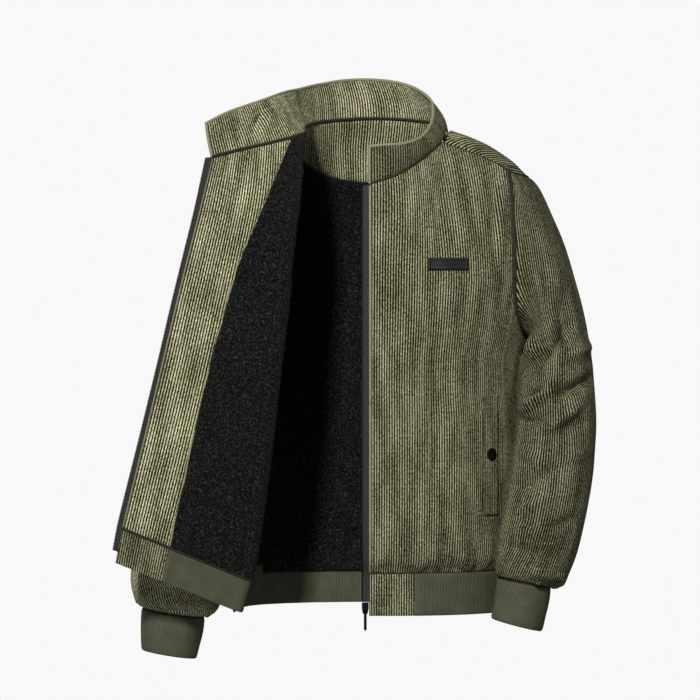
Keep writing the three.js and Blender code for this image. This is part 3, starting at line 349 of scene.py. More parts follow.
def level_of(row):
    return HEM_SEAM + (SPLIT_LEVEL - HEM_SEAM) * np.minimum(row, LOWER_ROWS) / LOWER_ROWS


def side_level(row, u):
    top = UNDERARM_LEVEL + (SPLIT_LEVEL - UNDERARM_LEVEL) * (1 - np.sqrt(1 - (1 - u) ** 2))
    return HEM_SEAM + (top - HEM_SEAM) * row / LOWER_ROWS


def upper(row):
    return np.clip((row - LOWER_ROWS) / UPPER_ROWS, 0, 1)


def left_front(row, col):
    """Left front: columns run from the zip edge to the armhole, rows from the hem seam to the shoulder."""
    z = level_of(row)
    facing = read(FACING_SHARE, z)["share"]
    near = -ZIP_SHARE + (facing + ZIP_SHARE) * col / FACING_COLS
    far = facing + (ARM_SHARE - facing) * (col - FACING_COLS) / CHEST_COLS
    low = body_point(z, np.where(col <= FACING_COLS, near, far), "front")
    edge = body_point(z, np.full_like(z, -ZIP_SHARE), "front")[..., 0]
    low[..., 0] += (-ZIP_HALF_GAP - edge) * np.clip(1 - col, 0, 1)
    neck = neck_base(np.minimum(LEFT_NECK_END * col / FACING_COLS, LEFT_NECK_END))
    seam = shoulder_seam(np.clip((col - FACING_COLS) / CHEST_COLS, 0, 1))
    top = np.where((col <= FACING_COLS)[..., None], neck, seam)
    return np.where((row <= LOWER_ROWS)[..., None], low, rise(low, top, upper(row)))


def left_front_side(row, col):
    u = col / SIDE_COLS
    return body_point(side_level(row, u), ARM_SHARE + (1 - ARM_SHARE) * u, "front")


BACK_COLS = 2 * CHEST_COLS + NECK_COLS


def back_middle(row, col):
    """The back between the armholes, from the left one to the right one; its top runs over the shoulders."""
    left = col <= BACK_COLS / 2
    near = np.where(left, col, BACK_COLS - col)
    in_neck = near >= CHEST_COLS
    g = np.where(in_neck, 1, 1 - near / CHEST_COLS)
    neck_share = NECK_SHARE * (1 - (near - CHEST_COLS) / (NECK_COLS / 2))
    arm_share = ARM_SHARE + (NECK_SHARE - ARM_SHARE) * near / CHEST_COLS
    low = body_point(level_of(row), np.where(in_neck, neck_share, arm_share), "back")
    low = np.where(left[..., None], low, mirrored(low))
    t = upper(row)
    outward = np.where(left, 1, -1)
    across = np.clip((col - CHEST_COLS) / NECK_COLS, 0, 1)
    neck = neck_base(LEFT_NECK_END + (RIGHT_NECK_START - LEFT_NECK_END) * across)
    g = np.where(in_neck, 0, g)
    seam = np.where(left[..., None], shoulder_seam(g), right_seam(g))
    top = np.where(in_neck[..., None], neck, seam)
    point = rise(low, top, t)
    end = end_angle(low, top)
    ridge = read(RIDGE, g)["z"]
    fall = (np.sin(end * t) - np.sin(end)) / np.maximum(1 - np.sin(end), 1e-6)
    bent = np.where(end * t > QUARTER, top[..., 2] + (ridge - top[..., 2]) * fall,
                    low[..., 2] + (ridge - low[..., 2]) * np.sin(end * t))
    point[..., 2] = np.where(in_neck, point[..., 2], bent)
    edge = np.abs(2 * across - 1) ** NECK_BULGE_POWER
    bulge = np.where(in_neck, NECK_BULGE * edge, NECK_BULGE + (TIP_BULGE - NECK_BULGE) * g**TIP_BULGE_POWER)
    point[..., 0] += outward * bulge * over_ridge(end, t)
    return np.where((row <= LOWER_ROWS)[..., None], low, point)


def back_side_left(row, col):
    u = 1 - col / SIDE_COLS
    return body_point(side_level(row, u), ARM_SHARE + (1 - ARM_SHARE) * u, "back")


def back_side_right(row, col):
    return mirrored(back_side_left(row, SIDE_COLS - col))


FLAP_SPLIT = 0.745


def flap_row(row):
    low = FLAP_SPLIT * row / LOWER_ROWS
    high = FLAP_SPLIT + (1 - FLAP_SPLIT) * (row - LOWER_ROWS) / UPPER_ROWS
    return read(FLAP, np.where(row <= LOWER_ROWS, low, high))


def roll_side(r, sign):
    return vec(r["rollX"] - r["rollHalf"] * ROLL_LEAN, r["rollY"] + sign * r["rollHalf"], r["rollZ"])


def flap_edge(r):
    return vec(r["edgeX"], r["edgeY"], r["edgeZ"])


def part_a_point(row, share, side_z):
    """Right front between its side seam and the roll, at a share of the way."""
    r = flap_row(row)
    side = mirrored(body_point(side_z, np.ones_like(np.asarray(side_z, float)), "front"))
    start = roll_side(r, 1)
    start[..., 2] = side_z + (r["rollZ"] - side_z) * share
    point = mix(side, start, share)
    out = unit(vec(side[..., 1] - start[..., 1], start[..., 0] - side[..., 0], 0))
    return point + out * (-PART_A_SWELL * 4 * share * (1 - share))[..., None]


def right_side(row, col):
    u = 1 - col / SIDE_COLS
    return part_a_point(row, (1 - u) * (1 - PART_A_ARM_SHARE), side_level(row, u))


def last_row_blend(row):
    return np.clip(row - (TOP_ROW - 1), 0, 1)


def part_a(row, col):
    """Right front from the armhole to the roll, up to the shoulder seam."""
    low_row = np.minimum(row, LOWER_ROWS)
    g = 1 - col / CHEST_COLS
    low = part_a_point(low_row, 1 - PART_A_ARM_SHARE * g, level_of(low_row))
    t = upper(row)
    point = rise(low, right_seam(g), t)
    top = np.full_like(row, LOWER_ROWS)
    low_start = part_a_point(top, np.ones_like(row), level_of(top))
    want = mix(roll_side(flap_row(row), 1), neck_base(RIGHT_NECK_START), last_row_blend(row))
    slip = want - rise(low_start, right_seam(np.zeros_like(row)), t)
    return np.where((row <= LOWER_ROWS)[..., None], low, point + slip * ((1 - g) ** 2)[..., None])


def flap_point(row, share):
    """The folded-open part of the right front, from the roll to the zip edge."""
    r = flap_row(row)
    point = mix(roll_side(r, -1), flap_edge(r), share)
    end = flap_row(np.full_like(row, TOP_ROW))
    straight = mix(roll_side(end, -1), flap_edge(end), share)
    neck = neck_base(ROLL_NECK_END + (1 - ROLL_NECK_END) * np.asarray(share))
    return point + (neck - straight) * (upper(row) ** 2)[..., None]


def roll_point(row, col):
    """The roll along which the right front folds open."""
    u = (col / ROLL_COLS)[..., None]
    r = flap_row(row)
    low_start = part_a_point(np.minimum(row, LOWER_ROWS), np.ones_like(row), level_of(row))
    start = np.where((row <= LOWER_ROWS)[..., None], low_start, roll_side(r, 1))
    end = flap_point(row, np.zeros_like(row))
    before = part_a(np.minimum(row, TOP_ROW - 1), np.full_like(row, CHEST_COLS - 1))
    reach = (r["rollHalf"] * 2 * ROLL_SWELL * ROLL_HANDLE)[..., None]
    leave = start + unit(start - before) * reach
    arrive = end + unit(end - flap_edge(r)) * reach
    v = 1 - u
    bend = v**3 * start + 3 * v * v * u * leave + 3 * v * u * u * arrive + u**3 * end
    neck = neck_base(RIGHT_NECK_START + (ROLL_NECK_END - RIGHT_NECK_START) * u[..., 0])
    return mix(bend, neck, last_row_blend(row))


def flap_lining(row, col):
    return flap_point(row, (1 - flap_row(row)["facing"]) * col / FLAP_COLS)


def flap_facing(row, col):
    start = 1 - flap_row(row)["facing"]
    return flap_point(row, start + (1 - start) * col / FACING_COLS)


def collar(s, u):
    """Stand collar: s runs along the neck seam from the left zip edge to the right, u from the seam up."""
    row = read(NECK, s)
    base, top = vec(row["x"], row["y"], row["z"]), vec(row["topX"], row["topY"], row["topZ"])
    outward = unit(vec(row["x"], row["y"] - COLLAR_CENTRE_Y, 0))
    return mix(base, top, u) + outward * (row["bow"] * np.sin(math.pi * u))[..., None]


HEM_PARTS = [
    (FACING_COLS + CHEST_COLS, left_front),
    (SIDE_COLS, left_front_side),
    (SIDE_COLS, back_side_left),
    (BACK_COLS, back_middle),
    (SIDE_COLS, back_side_right),
    (SIDE_COLS, right_side),
    (CHEST_COLS, part_a),
    (ROLL_COLS, roll_point),
    (FLAP_COLS, flap_lining),
    (FACING_COLS, flap_facing),
]
HEM_COLS = sum(count for count, _ in HEM_PARTS)
FLAP_START = HEM_COLS - FACING_COLS - FLAP_COLS - ROLL_COLS
PART_A_START = FLAP_START - CHEST_COLS


def hem_seam(i):
    """The seam between the body and its waistband; i runs round it from the left edge to the right one."""
    point = np.zeros(i.shape + (3,))
    start = 0
    for count, part in HEM_PARTS:
        inside = (i >= start) & (i <= start + count)
        point[inside] = part(np.zeros(inside.sum()), i[inside] - start)
        start += count
    return point


def hem_band(i, down):
    """Waistband: i runs round the hem from the left zip edge to the right one, down from the seam."""
    seam = hem_seam(i)
    low, high = read(FLAP, FLAP[1][0][0]), read(FLAP, 0.0)
    near_roll = np.clip((i - PART_A_START) / CHEST_COLS, 0, 1)
    drop = (HEM_BOTTOM - HEM_SEAM) * (1 - ROLL_BAND_RISE * near_roll)
    flare = 1 + BAND_FLARE * np.sin(math.pi * down)
    body = vec(seam[..., 0] * flare, seam[..., 1] * (1 - BAND_TUCK * down),
               seam[..., 2] + drop * down)
    reach = np.clip((seam[..., 0] - high["rollX"]) / (high["edgeX"] - high["rollX"]), 0, 1)
    at_roll = np.array([low[k] - high[k] for k in ("rollX", "rollY", "rollZ")])
    at_edge = np.array([low[k] - high[k] for k in ("edgeX", "edgeY", "edgeZ")])
    flap = seam + mix(at_roll, at_edge, reach) * down[..., None]
    return mix(body, flap, np.clip((i - FLAP_START) / (ROLL_COLS / 2), 0, 1))


def left_armhole(i):
    """The left armhole, from the shoulder seam down its front and up its back."""
    parts = [
        (UPPER_ROWS, lambda a: left_front(TOP_ROW - a, np.full_like(a, FACING_COLS + CHEST_COLS))),
        (SIDE_COLS, lambda a: left_front_side(np.full_like(a, LOWER_ROWS), a)),
        (SIDE_COLS, lambda a: back_side_left(np.full_like(a, LOWER_ROWS), a)),
        (UPPER_ROWS, lambda a: back_middle(LOWER_ROWS + a, np.zeros_like(a))),
    ]
    return along_parts(parts, i)


def right_armhole(i):
    """The right armhole, from the shoulder seam down its back and up its front."""
    parts = [
        (UPPER_ROWS, lambda a: back_middle(TOP_ROW - a, np.full_like(a, BACK_COLS))),
        (SIDE_COLS, lambda a: back_side_right(np.full_like(a, LOWER_ROWS), a)),
        (SIDE_COLS, lambda a: right_side(np.full_like(a, LOWER_ROWS), a)),
        (UPPER_ROWS, lambda a: part_a(LOWER_ROWS + a, np.zeros_like(a))),
    ]
    return along_parts(parts, i)


def along_parts(parts, i):
    total = sum(count for count, _ in parts)
    i = np.where(i >= total, i - total, i)
    point = np.zeros(i.shape + (3,))
    start = 0
    for count, part in parts:
        inside = (i >= start) & (i < start + count)
        point[inside] = part(i[inside] - start)
        start += count
    return point


ARMHOLE_STEPS = 2 * (UPPER_ROWS + SIDE_COLS)
TURN_RINGS = 6


def sleeve_ring(table, k):
    r = read(table, k)
    out, inner = vec(r["outX"], 0, r["outZ"]), vec(r["inX"], 0, r["inZ"])
    middle = (out + inner) / 2
    middle[..., 1] = r["midY"]
    return middle, (out - inner) / 2, r["half"]


def on_ring(ring, angle):
    middle, reach, half = ring
    cos, sin = np.cos(angle), np.sin(angle)
    along = np.sign(cos) * np.abs(cos) ** (2 / SLEEVE_ROUND)
    deep = np.sign(sin) * np.abs(sin) ** (2 / SLEEVE_ROUND)
    return middle + reach * along[..., None] + vec(0, -half * deep, 0)


def sleeve_angles(armhole, table, sign, i):
    """The angles of armhole points on the sleeve's first ring, even ones, and the points' distance off it."""
    ring = sleeve_ring(table, 0.0)
    middle, reach, half = ring

    def angle_at(index):
        offset = armhole(index) - middle
        size = np.linalg.norm(reach)
        return np.arctan2(-offset[..., 1] / half, offset @ (reach / size) / size)

    angles = angle_at(i)
    even = angle_at(np.zeros(1))[0] + sign * 2 * math.pi * i / ARMHOLE_STEPS
    memory = armhole(i) - on_ring(ring, angles)
    return angles, even, memory


def sleeve(armhole, table, sign, k, i):
    """k runs down the sleeve's rings, i round the armhole."""
    angles, even, memory = sleeve_angles(armhole, table, sign, i)
    turn = even - angles
    turn = turn - 2 * math.pi * np.round(turn / (2 * math.pi))
    angle = angles + turn * np.minimum(k / TURN_RINGS, 1)
    keep = np.maximum(read(ARMHOLE_MEMORY, np.minimum(k, 5))["keep"], 0)
    return on_ring(sleeve_ring(table, k), angle) + memory * keep[..., None]


def cuff(armhole, table, cuff_table, sign, k, i):
    _, even, _ = sleeve_angles(armhole, table, sign, i)
    return on_ring(sleeve_ring(cuff_table, k), even)


# Cloth surfaces, in millimetres
WALE_STEPS = 4
NEAR_ROWS = [0, 0.9, 1.9, 3.2]
SEAM_WIDTH = 3.2
MESH_PRECISION = 20
OUTWARD_BIAS = 0.5
RIM_STEP = 1.2
FOLD_FADE = (3, 18)
FOLD_TURN = 2.5
FOLD_END_LOSS = 0.45
HANG_STRETCH = [1, 1, 0.45]
PUCKER_STRETCH = [1, 1, 0.12]
PUCKER_HEIGHT = 60
GROOVE_SHARPNESS = 1.5


class Kit:
    """What one build shares: the wales' pitch and depth in millimetres, and the materials made so far."""

    made = {}


def values():
    settings = bpy.context.scene.jacket_settings
    Kit.pitch, Kit.depth = settings.wale_pitch / MM, settings.wale_depth / MM
    return Kit


def lattice(part, rows, cols):
    """Points of a part on rows x columns."""
    r, c = np.meshgrid(rows, cols, indexing="ij")
    return part(r.ravel(), c.ravel()).reshape(r.shape + (3,))


def even_columns(part, rows, cols):
    """A lattice whose columns are spread evenly along each row. cols is from, to, count."""
    points = lattice(part, rows, np.linspace(cols[0], cols[1], 2 * cols[2] + 1))
    run = run_of(points)
    even = np.linspace(0, 1, cols[2] + 1)
    return np.array([at_run(line, length, even * length[-1]) for line, length in zip(points, run)])


def run_of(points):
    """How far along its row each point lies."""
    step = np.linalg.norm(np.diff(points, axis=1), axis=-1)
    return np.concatenate([np.zeros((len(points), 1)), np.cumsum(step, 1)], 1)


def at_run(line, run, wanted):
    """Points of a line at wanted lengths along it."""
    return np.stack([np.interp(wanted, run, line[:, k]) for k in range(3)], -1)


def row_values(part, low, high, col, step, ends=(True, True), extra=()):
    """Row values whose points on one column lie a step apart, and closer beside the ends."""
    dense = np.linspace(low, high, 400)
    line = part(dense, np.full_like(dense, col))
    run = run_of(line[None])[0]
    total = run[-1]
    head = NEAR_ROWS if ends[0] else [0]
    tail = NEAR_ROWS if ends[1] else [0]
    middle = np.linspace(head[-1], total - tail[-1], max(int(total / step), 2) + 1)
    lengths = np.unique(np.concatenate([head, middle, [total - x for x in tail]]).round(4))
    values = np.interp(lengths, run, dense)
    for value in extra:
        values[np.argmin(np.abs(values - value))] = value
    return values


def dense_line(line, step):
    """The line with points a step apart."""
    run = run_of(line[None])[0]
    return at_run(line, run, np.linspace(0, run[-1], int(run[-1] / step) + 2))


def tree_of(points):
    tree = KDTree(len(points))
    for i, point in enumerate(points):
        tree.insert(point, i)
    tree.balance()
    return tree


def nearest_to(samples, points):
    """Distance from each point to the nearest of some samples."""
    tree = tree_of(samples)
    return np.array([tree.find(p)[2] for p in points])


NOISE_ORIGIN = 1000.5
NOISE_SEED_STEP = 17.3
NOISE_PRIMES = (73856093, 19349663, 83492791)
NOISE_MIXER = 1274126177


def noise(points, scale, seed=0):
    """Smooth value noise, -1 to 1, at points in millimetres."""
    p = np.asarray(points, float) / scale + NOISE_ORIGIN + seed * NOISE_SEED_STEP
    cell = np.floor(p).astype(np.int64)
    f = p - cell
    f = f * f * (3 - 2 * f)
    total = np.zeros(p.shape[:-1])
    for corner in range(8):
        bits = np.array([corner >> k & 1 for k in range(3)])
        c = cell + bits
        x, y, z = (c[..., k] * prime for k, prime in enumerate(NOISE_PRIMES))
        value = x ^ y ^ z
        value = (value ^ (value >> 13)) * NOISE_MIXER
        value = ((value ^ (value >> 16)) & 0xFFFFFF) / 0x7FFFFF - 1
        total += value * np.prod(np.where(bits == 1, f, 1 - f), -1)
    return total


class Cloth:
    """Lattices of one sewn piece, welded where they meet, then given relief and turned into a mesh."""

    def __init__(self, name, inside=False):
        self.name, self.inside = name, inside
        self.points, self.quads, self.uvs, self.count = [], [], [], 0
        self.width = self.length = 0

    def add(self, points, u, v):
        """points is rows x columns; u is the wale count and v the height in millimetres, at each point."""
        rows, cols = points.shape[:2]
        index = np.arange(rows * cols).reshape(rows, cols) + self.count
        quads = np.stack([index[:-1, :-1], index[:-1, 1:], index[1:, 1:], index[1:, :-1]], -1).reshape(-1, 4)
        self.points.append(points.reshape(-1, 3))
        self.quads.append(quads)
        self.uvs.append(np.stack(np.broadcast_arrays(u, v), -1).reshape(-1, 2).astype(float))
        self.count += rows * cols
        self.width += run_of(points)[:, -1].max()
        self.length = max(self.length, run_of(points.swapaxes(0, 1))[:, -1].max())
        return self

    def weld(self):
        """Joins the lattices where they meet, and measures the cloth and each point's distance from its rim."""
        points, quads, uvs = map(np.concatenate, (self.points, self.quads, self.uvs))
        key = np.round(points * MESH_PRECISION).astype(np.int64)
        _, first, back = np.unique(key, axis=0, return_index=True, return_inverse=True)
        back = back.ravel()
        self.corner_uv = uvs[quads]
        self.quads = back[quads]
        self.points, self.uv = points[first], uvs[first]
        corners = np.sort(self.quads, 1)
        keep = (corners[:, 1:] == corners[:, :-1]).sum(1) < 2
        self.quads, self.corner_uv = self.quads[keep], self.corner_uv[keep]
        if self.inside:
            self.quads, self.corner_uv = self.quads[:, ::-1], self.corner_uv[:, ::-1]
        p, q = self.points, self.quads
        cross = np.cross(p[q[:, 2]] - p[q[:, 0]], p[q[:, 3]] - p[q[:, 1]])
        self.area = np.linalg.norm(cross, axis=1).sum() / 2
        self.edges = self.rim_edges()
        self.border = self.away_from_rim()
        return self

    def rim_edges(self):
        q = self.quads
        edges = np.concatenate([np.stack([q[:, i], q[:, (i + 1) % 4]], 1) for i in range(4)])
        edges = edges[edges[:, 0] != edges[:, 1]]
        _, where, count = np.unique(np.sort(edges, 1), axis=0, return_index=True, return_counts=True)
        return edges[where[count == 1]]

    def normals(self):
        p, q = self.points, self.quads
        face = np.cross(p[q[:, 2]] - p[q[:, 0]], p[q[:, 3]] - p[q[:, 1]])
        total = np.zeros_like(p)
        for i in range(4):
            for k in range(3):
                total[:, k] += np.bincount(q[:, i], face[:, k], len(p))
        return unit(total)

    def away_from_rim(self):
        a, b = self.points[self.edges[:, 0]], self.points[self.edges[:, 1]]
        parts = np.maximum(np.ceil(np.linalg.norm(b - a, axis=1) / RIM_STEP).astype(int), 1)
        samples = np.concatenate([a[parts > j] + (b - a)[parts > j] * (j / parts[parts > j])[:, None]
                                  for j in range(parts.max())])
        return nearest_to(samples, self.points)

    def move(self, amount):
        """Moves the points along the visible side's outward direction."""
        self.points = self.points + self.normals() * np.broadcast_to(amount, len(self.points))[:, None]
        return self

    def folds(self, table, side=-1, strength=1.0):
        """Creases on the side of the piece that faces the front (-1) or the back (1)."""
        reach = smooth(self.border, *FOLD_FADE)
        normals = self.normals()
        total = np.zeros(len(self.points))
        facing = np.clip(normals[:, 1] * side * FOLD_TURN, 0, 1)
        for from_x, from_z, to_x, to_z, half, height in table:
            d = np.array([to_x - from_x, to_z - from_z], float)
            p = self.points[:, [0, 2]] - np.array([from_x, from_z])
            along = p @ d / (d @ d)
            held = np.clip(along, 0, 1)
            away = np.linalg.norm(p - held[:, None] * d, axis=1) / half
            ends = 1 - FOLD_END_LOSS * np.abs(2 * held - 1) ** 2
            total += height * ends * np.exp(-away * away)
        self.points = self.points + normals * (total * facing * reach * strength)[:, None]
        return self

    def groove(self, lines, half, depth):
        """A narrow hollow along lines, as topstitching draws the cloth down."""
        path = np.concatenate([dense_line(line, 0.8) for line in lines])
        near = nearest_to(path, self.points)
        return self.move(-depth * np.exp(-((near / half) ** 2)))

    def soft(self, height, scale, seed):
        """Slow undulation of cloth that hangs, still at the seams."""
        stretched = self.points * np.array(HANG_STRETCH)
        reach = smooth(self.border, 2, 30)
        waves = noise(stretched, scale, seed) + 0.4 * noise(stretched, scale * 0.4, seed + 1)
        return self.move(height * reach * (waves + OUTWARD_BIAS))

    def swell(self, centre, radius, height):
        """A broad bulge round a point, where cloth meets its neighbour."""
        away = np.linalg.norm(self.points - np.array(centre, float), axis=1) / radius
        return self.move(height * np.exp(-away * away) * smooth(self.border, 0, 6))

    def gathers(self, top, height, scale=9, reach=26):
        """Small puckers that run up from the lower seam, where the cloth is eased onto its rib."""
        near = np.exp(-self.border / reach) * (1 - smooth(self.points[:, 2], top, top + PUCKER_HEIGHT))
        near = near * smooth(self.border, 0.5, 5)
        stretched = self.points * np.array(PUCKER_STRETCH)
        puckers = noise(stretched, scale, 31) + 0.7 * noise(stretched, scale * 2.3, 32)
        return self.move(height * near * puckers)

    def wales(self, height, dip=1.4, width=SEAM_WIDTH):
        """Ribs of the pile, and the edges drawn in where the piece is sewn."""
        groove = (0.5 + 0.5 * np.cos(2 * np.pi * self.uv[:, 0])) ** GROOVE_SHARPNESS
        return self.move(-height * groove - dip * (1 - smooth(self.border, 0, width)))

    def build(self, material, slot, replaces, thickness=1.3, back=None):
        """Makes the mesh. Its rim turns in by the thickness, or back gives the points of its far face."""
        points, quads, uv = self.points, self.quads, self.corner_uv
        normals = self.normals()
        low, high = self.edges[:, 0], self.edges[:, 1]
        if back is None:
            rim = np.unique(self.edges)
            lookup = np.full(len(points), -1)
            lookup[rim] = np.arange(len(rim)) + len(points)
            points = np.concatenate([points, points[rim] - normals[rim] * thickness])
            wall = np.stack([high, low, lookup[low], lookup[high]], 1)
            quads = np.concatenate([quads, wall])
        else:
            wall = np.stack([high, low, low + len(points), high + len(points)], 1)
            quads = np.concatenate([quads, quads[:, ::-1] + len(points), wall])
            uv = np.concatenate([uv, uv[:, ::-1]])
            points = np.concatenate([points, back])
        wall_uv = np.stack([self.uv[high], self.uv[low], self.uv[low], self.uv[high]], 1)
        obj = mesh_object(self.name, points, quads, np.concatenate([uv, wall_uv]), material)
        return declare(obj, replaces)

    def sewn(self, finish, slot, node, **shape):
        """Makes the mesh that replaces a node."""
        obj = self.build(Kit.made[finish], slot, [node], **shape)
        return self


def mesh_object(name, points, quads, uv, material):
    """A smooth mesh from points in millimetres; a quad that names a corner twice becomes a triangle."""
    mesh = bpy.data.meshes.new(name)
    keep = quads != np.roll(quads, -1, axis=1)
    loops, coords = quads[keep], uv[keep]
    counts = keep.sum(1)
    starts = np.concatenate([[0], np.cumsum(counts)[:-1]])
    mesh.vertices.add(len(points))
    mesh.vertices.foreach_set("co", (np.asarray(points) * MM).astype(np.float32).ravel())
    mesh.loops.add(len(loops))
    mesh.loops.foreach_set("vertex_index", loops.astype(np.int32))
    mesh.polygons.add(len(starts))
    mesh.polygons.foreach_set("loop_start", starts.astype(np.int32))
    mesh.update(calc_edges=True)
    layer = mesh.uv_layers.new(name="UVMap")
    layer.data.foreach_set("uv", coords.astype(np.float32).ravel())
    mesh.validate()
    mesh.polygons.foreach_set("use_smooth", np.ones(len(mesh.polygons), bool))
    mesh.materials.append(material)
    obj = bpy.data.objects.new(name, mesh)
    bpy.context.scene.collection.objects.link(obj)
    return obj


def declare(obj, replaces):
    """Attaches an object to the jacket's body and hides the nodes that it replaces."""
    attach(obj, "jacket")
    if replaces:
        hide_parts(*replaces)
    return obj


# Materials
def linear(hex_colour):
    """An sRGB hex value as the linear RGBA that shaders take."""
    rgb = [int(hex_colour.lstrip("#")[i:i + 2], 16) / 255 for i in (0, 2, 4)]
    return [c / 12.92 if c <= 0.04045 else ((c + 0.055) / 1.055) ** 2.4 for c in rgb] + [1.0]


def add(tree, kind, inputs=(), **settings):
    """Adds a shader node; each input is a socket with its value, or with the output that feeds it."""
    made = tree.nodes.new(kind)
    for key, value in settings.items():
        setattr(made, key, value)
    for socket, value in inputs:
        if isinstance(value, bpy.types.NodeSocket):
            tree.links.new(value, made.inputs[socket])
        else:
            made.inputs[socket].default_value = value
    return made


def maths(tree, operation, *values):
    return add(tree, "ShaderNodeMath", enumerate(values), operation=operation).outputs[0]


def scaled(tree, vector, by):
    return add(tree, "ShaderNodeVectorMath", [(0, vector), (1, by)], operation="MULTIPLY").outputs[0]


def specks(tree, place, scale=1, detail=3, roughness=0.5):
    """Noise from 0 to 1, with so many cells in each unit of the place."""
    inputs = [("Vector", place), ("Scale", scale), ("Detail", detail), ("Roughness", roughness)]
    return add(tree, "ShaderNodeTexNoise", inputs).outputs["Fac"]


def specks_of(tree, size, **shape):
    """The same noise in object space, with cells of a size in millimetres."""
    return specks(tree, add(tree, "ShaderNodeTexCoord").outputs["Object"], 1 / (size * MM), **shape)


def material(name, **surface):
    """A material with values on its shader's own sockets."""
    mat = bpy.data.materials.new(name)
    mat.use_nodes = True
    shader = next(n for n in mat.node_tree.nodes if n.type == "BSDF_PRINCIPLED")
    for key, value in surface.items():
        shader.inputs[key.replace("_", " ")].default_value = value
    return mat, mat.node_tree, shader


def ramp(tree, fac, stops):
    """A colour ramp of (place, linear colour) stops."""
    made = add(tree, "ShaderNodeValToRGB", [("Fac", fac)])
    elements = made.color_ramp.elements
    while len(elements) < len(stops):
        elements.new(0.5)
    for element, (place, colour) in zip(elements, stops):
        element.position, element.color = place, colour
    return made.outputs["Color"]


def ribs(tree):
    """The UV, the height in mm, and 1 in the grooves and 0 on the ribs' crowns, from the rib count."""
    uv = add(tree, "ShaderNodeUVMap", uv_map="UVMap").outputs[0]
    parts = add(tree, "ShaderNodeSeparateXYZ", [(0, uv)])
    wave = maths(tree, "COSINE", maths(tree, "MULTIPLY", parts.outputs["X"], 2 * math.pi))
    groove = add(tree, "ShaderNodeMapRange", [("Value", wave), ("From Min", -1), ("From Max", 1)])
    return uv, parts.outputs["Y"], groove.outputs[0]


MOTTLE_RANGE = (0.3, 0.7)


def mottled(tree, colour, size, low, high):
    """The colour made lighter and darker in patches of a size in millimetres."""
    wear = add(tree, "ShaderNodeMapRange", [
        ("Value", specks_of(tree, size)), ("From Min", MOTTLE_RANGE[0]), ("From Max", MOTTLE_RANGE[1]),
        ("To Min", low), ("To Max", high)])
    return scaled(tree, colour, wear.outputs[0])


def finish(tree, shader, colour, height, strength, distance):
    """Joins a colour and a bump to the shader; the bump's distance is in millimetres."""
    tree.links.new(colour, shader.inputs["Base Color"])
    made = add(tree, "ShaderNodeBump",
               [("Height", height), ("Strength", strength), ("Distance", distance * MM)])
    tree.links.new(made.outputs[0], shader.inputs["Normal"])


# Corduroy pile: noise cells a rib and a millimetre, how far tufts and streaks wear it, and its ramp's start
TUFT_CELLS = (1.7, 0.3, 1)
STREAK_CELLS = (0.22, 0.012, 1)
TUFT_WEAR = 1.9
STREAK_WEAR = 0.9
WEAR_LEVEL = 1.23
PATCH_SIZE = 41.667


def corduroy(settings, name, lightness, ridged):
    # Cut-pile cotton corduroy, about eight wales to the inch: ribs whose crowns are lighter, as worn pile and as
    # painted highlight, dark grooves, the ground weave there with painted shade, and flecks along each rib where
    # the tufts lie differently. lightness makes the facings', the collar's and the right sleeve's copies lighter
    # and darker: painted light and painted shade.
    # ridged is the depth of ribs that the mesh doesn't have.
    mat, tree, shader = material(name, Roughness=0.95, Specular_IOR_Level=0.08)
    uv, _, groove = ribs(tree)
    tufts = specks(tree, scaled(tree, uv, TUFT_CELLS), roughness=0.65)
    streaks = specks(tree, scaled(tree, uv, STREAK_CELLS))
    wear = maths(tree, "MULTIPLY_ADD", streaks, STREAK_WEAR, maths(tree, "MULTIPLY", tufts, TUFT_WEAR))
    depth = maths(tree, "SUBTRACT", maths(tree, "ADD", groove, wear), WEAR_LEVEL)
    colour = ramp(tree, depth, [(0.0, settings.crown_wear_and_highlight_colour), (0.42, settings.pile_colour),
                                (0.9, settings.groove_weave_and_shade_colour)])
    height = maths(tree, "MULTIPLY_ADD", groove, -ridged, tufts)
    patchy = mottled(tree, colour, PATCH_SIZE, 0.86 * lightness, 1.14 * lightness)
    finish(tree, shader, patchy, height, 0.6, 0.7)
    return mat


# Copies of the corduroy: material name, lightness, depth of the ribs that the material makes. The facings', the
# collar's and the right sleeve's copies are made lighter and darker as painted light and painted shade
CORDUROY_LIT_AND_SHADED = {
    # Outside of the fronts, the back, the welts and the hem ends, whose ribs are in the mesh
    "corduroy": ("cotton corduroy", 1.2, 0.0),
    # Facings and the inside of the collar, made lighter in colour: painted light
    "corduroy_painted_light": ("cotton corduroy, painted light", 1.95, 0.0),
    # Outside of the collar, made darker in colour: painted shade
    "corduroy_painted_shade": ("cotton corduroy, painted shade", 0.75, 0.0),
    # Left sleeve, whose ribs come from the material
    "corduroy_sleeve": ("cotton corduroy, sleeves", 0.9, 2.2),
    # Right sleeve, made lighter in colour: painted light against the flap's shade on it
    "corduroy_sleeve_painted_light": ("cotton corduroy, right sleeve, painted light", 2.4, 2.2),
}
KNIT_LOOP = 1.4
KNIT_LOOP_DEPTH = 0.12


def rib_knit(settings):
    # Fine cotton rib, 2.2 mm from rib to rib: matt, soft, a little darker between the ribs.
    mat, tree, shader = material("rib knit", Roughness=0.92, Sheen_Weight=0.02, Specular_IOR_Level=0.1)
    _, height, groove = ribs(tree)
    loops = maths(tree, "SINE", maths(tree, "MULTIPLY", height, 2 * math.pi / KNIT_LOOP))
    deep = maths(tree, "MULTIPLY_ADD", loops, KNIT_LOOP_DEPTH, groove)
    colour = ramp(tree, deep, [(0.0, settings.knit_colour), (1.0, linear("#3f4032"))])
    finish(tree, shader, mottled(tree, colour, 22.222, 0.86, 1.12),
           maths(tree, "MULTIPLY", deep, -1), 0.7, 0.5)
    return mat


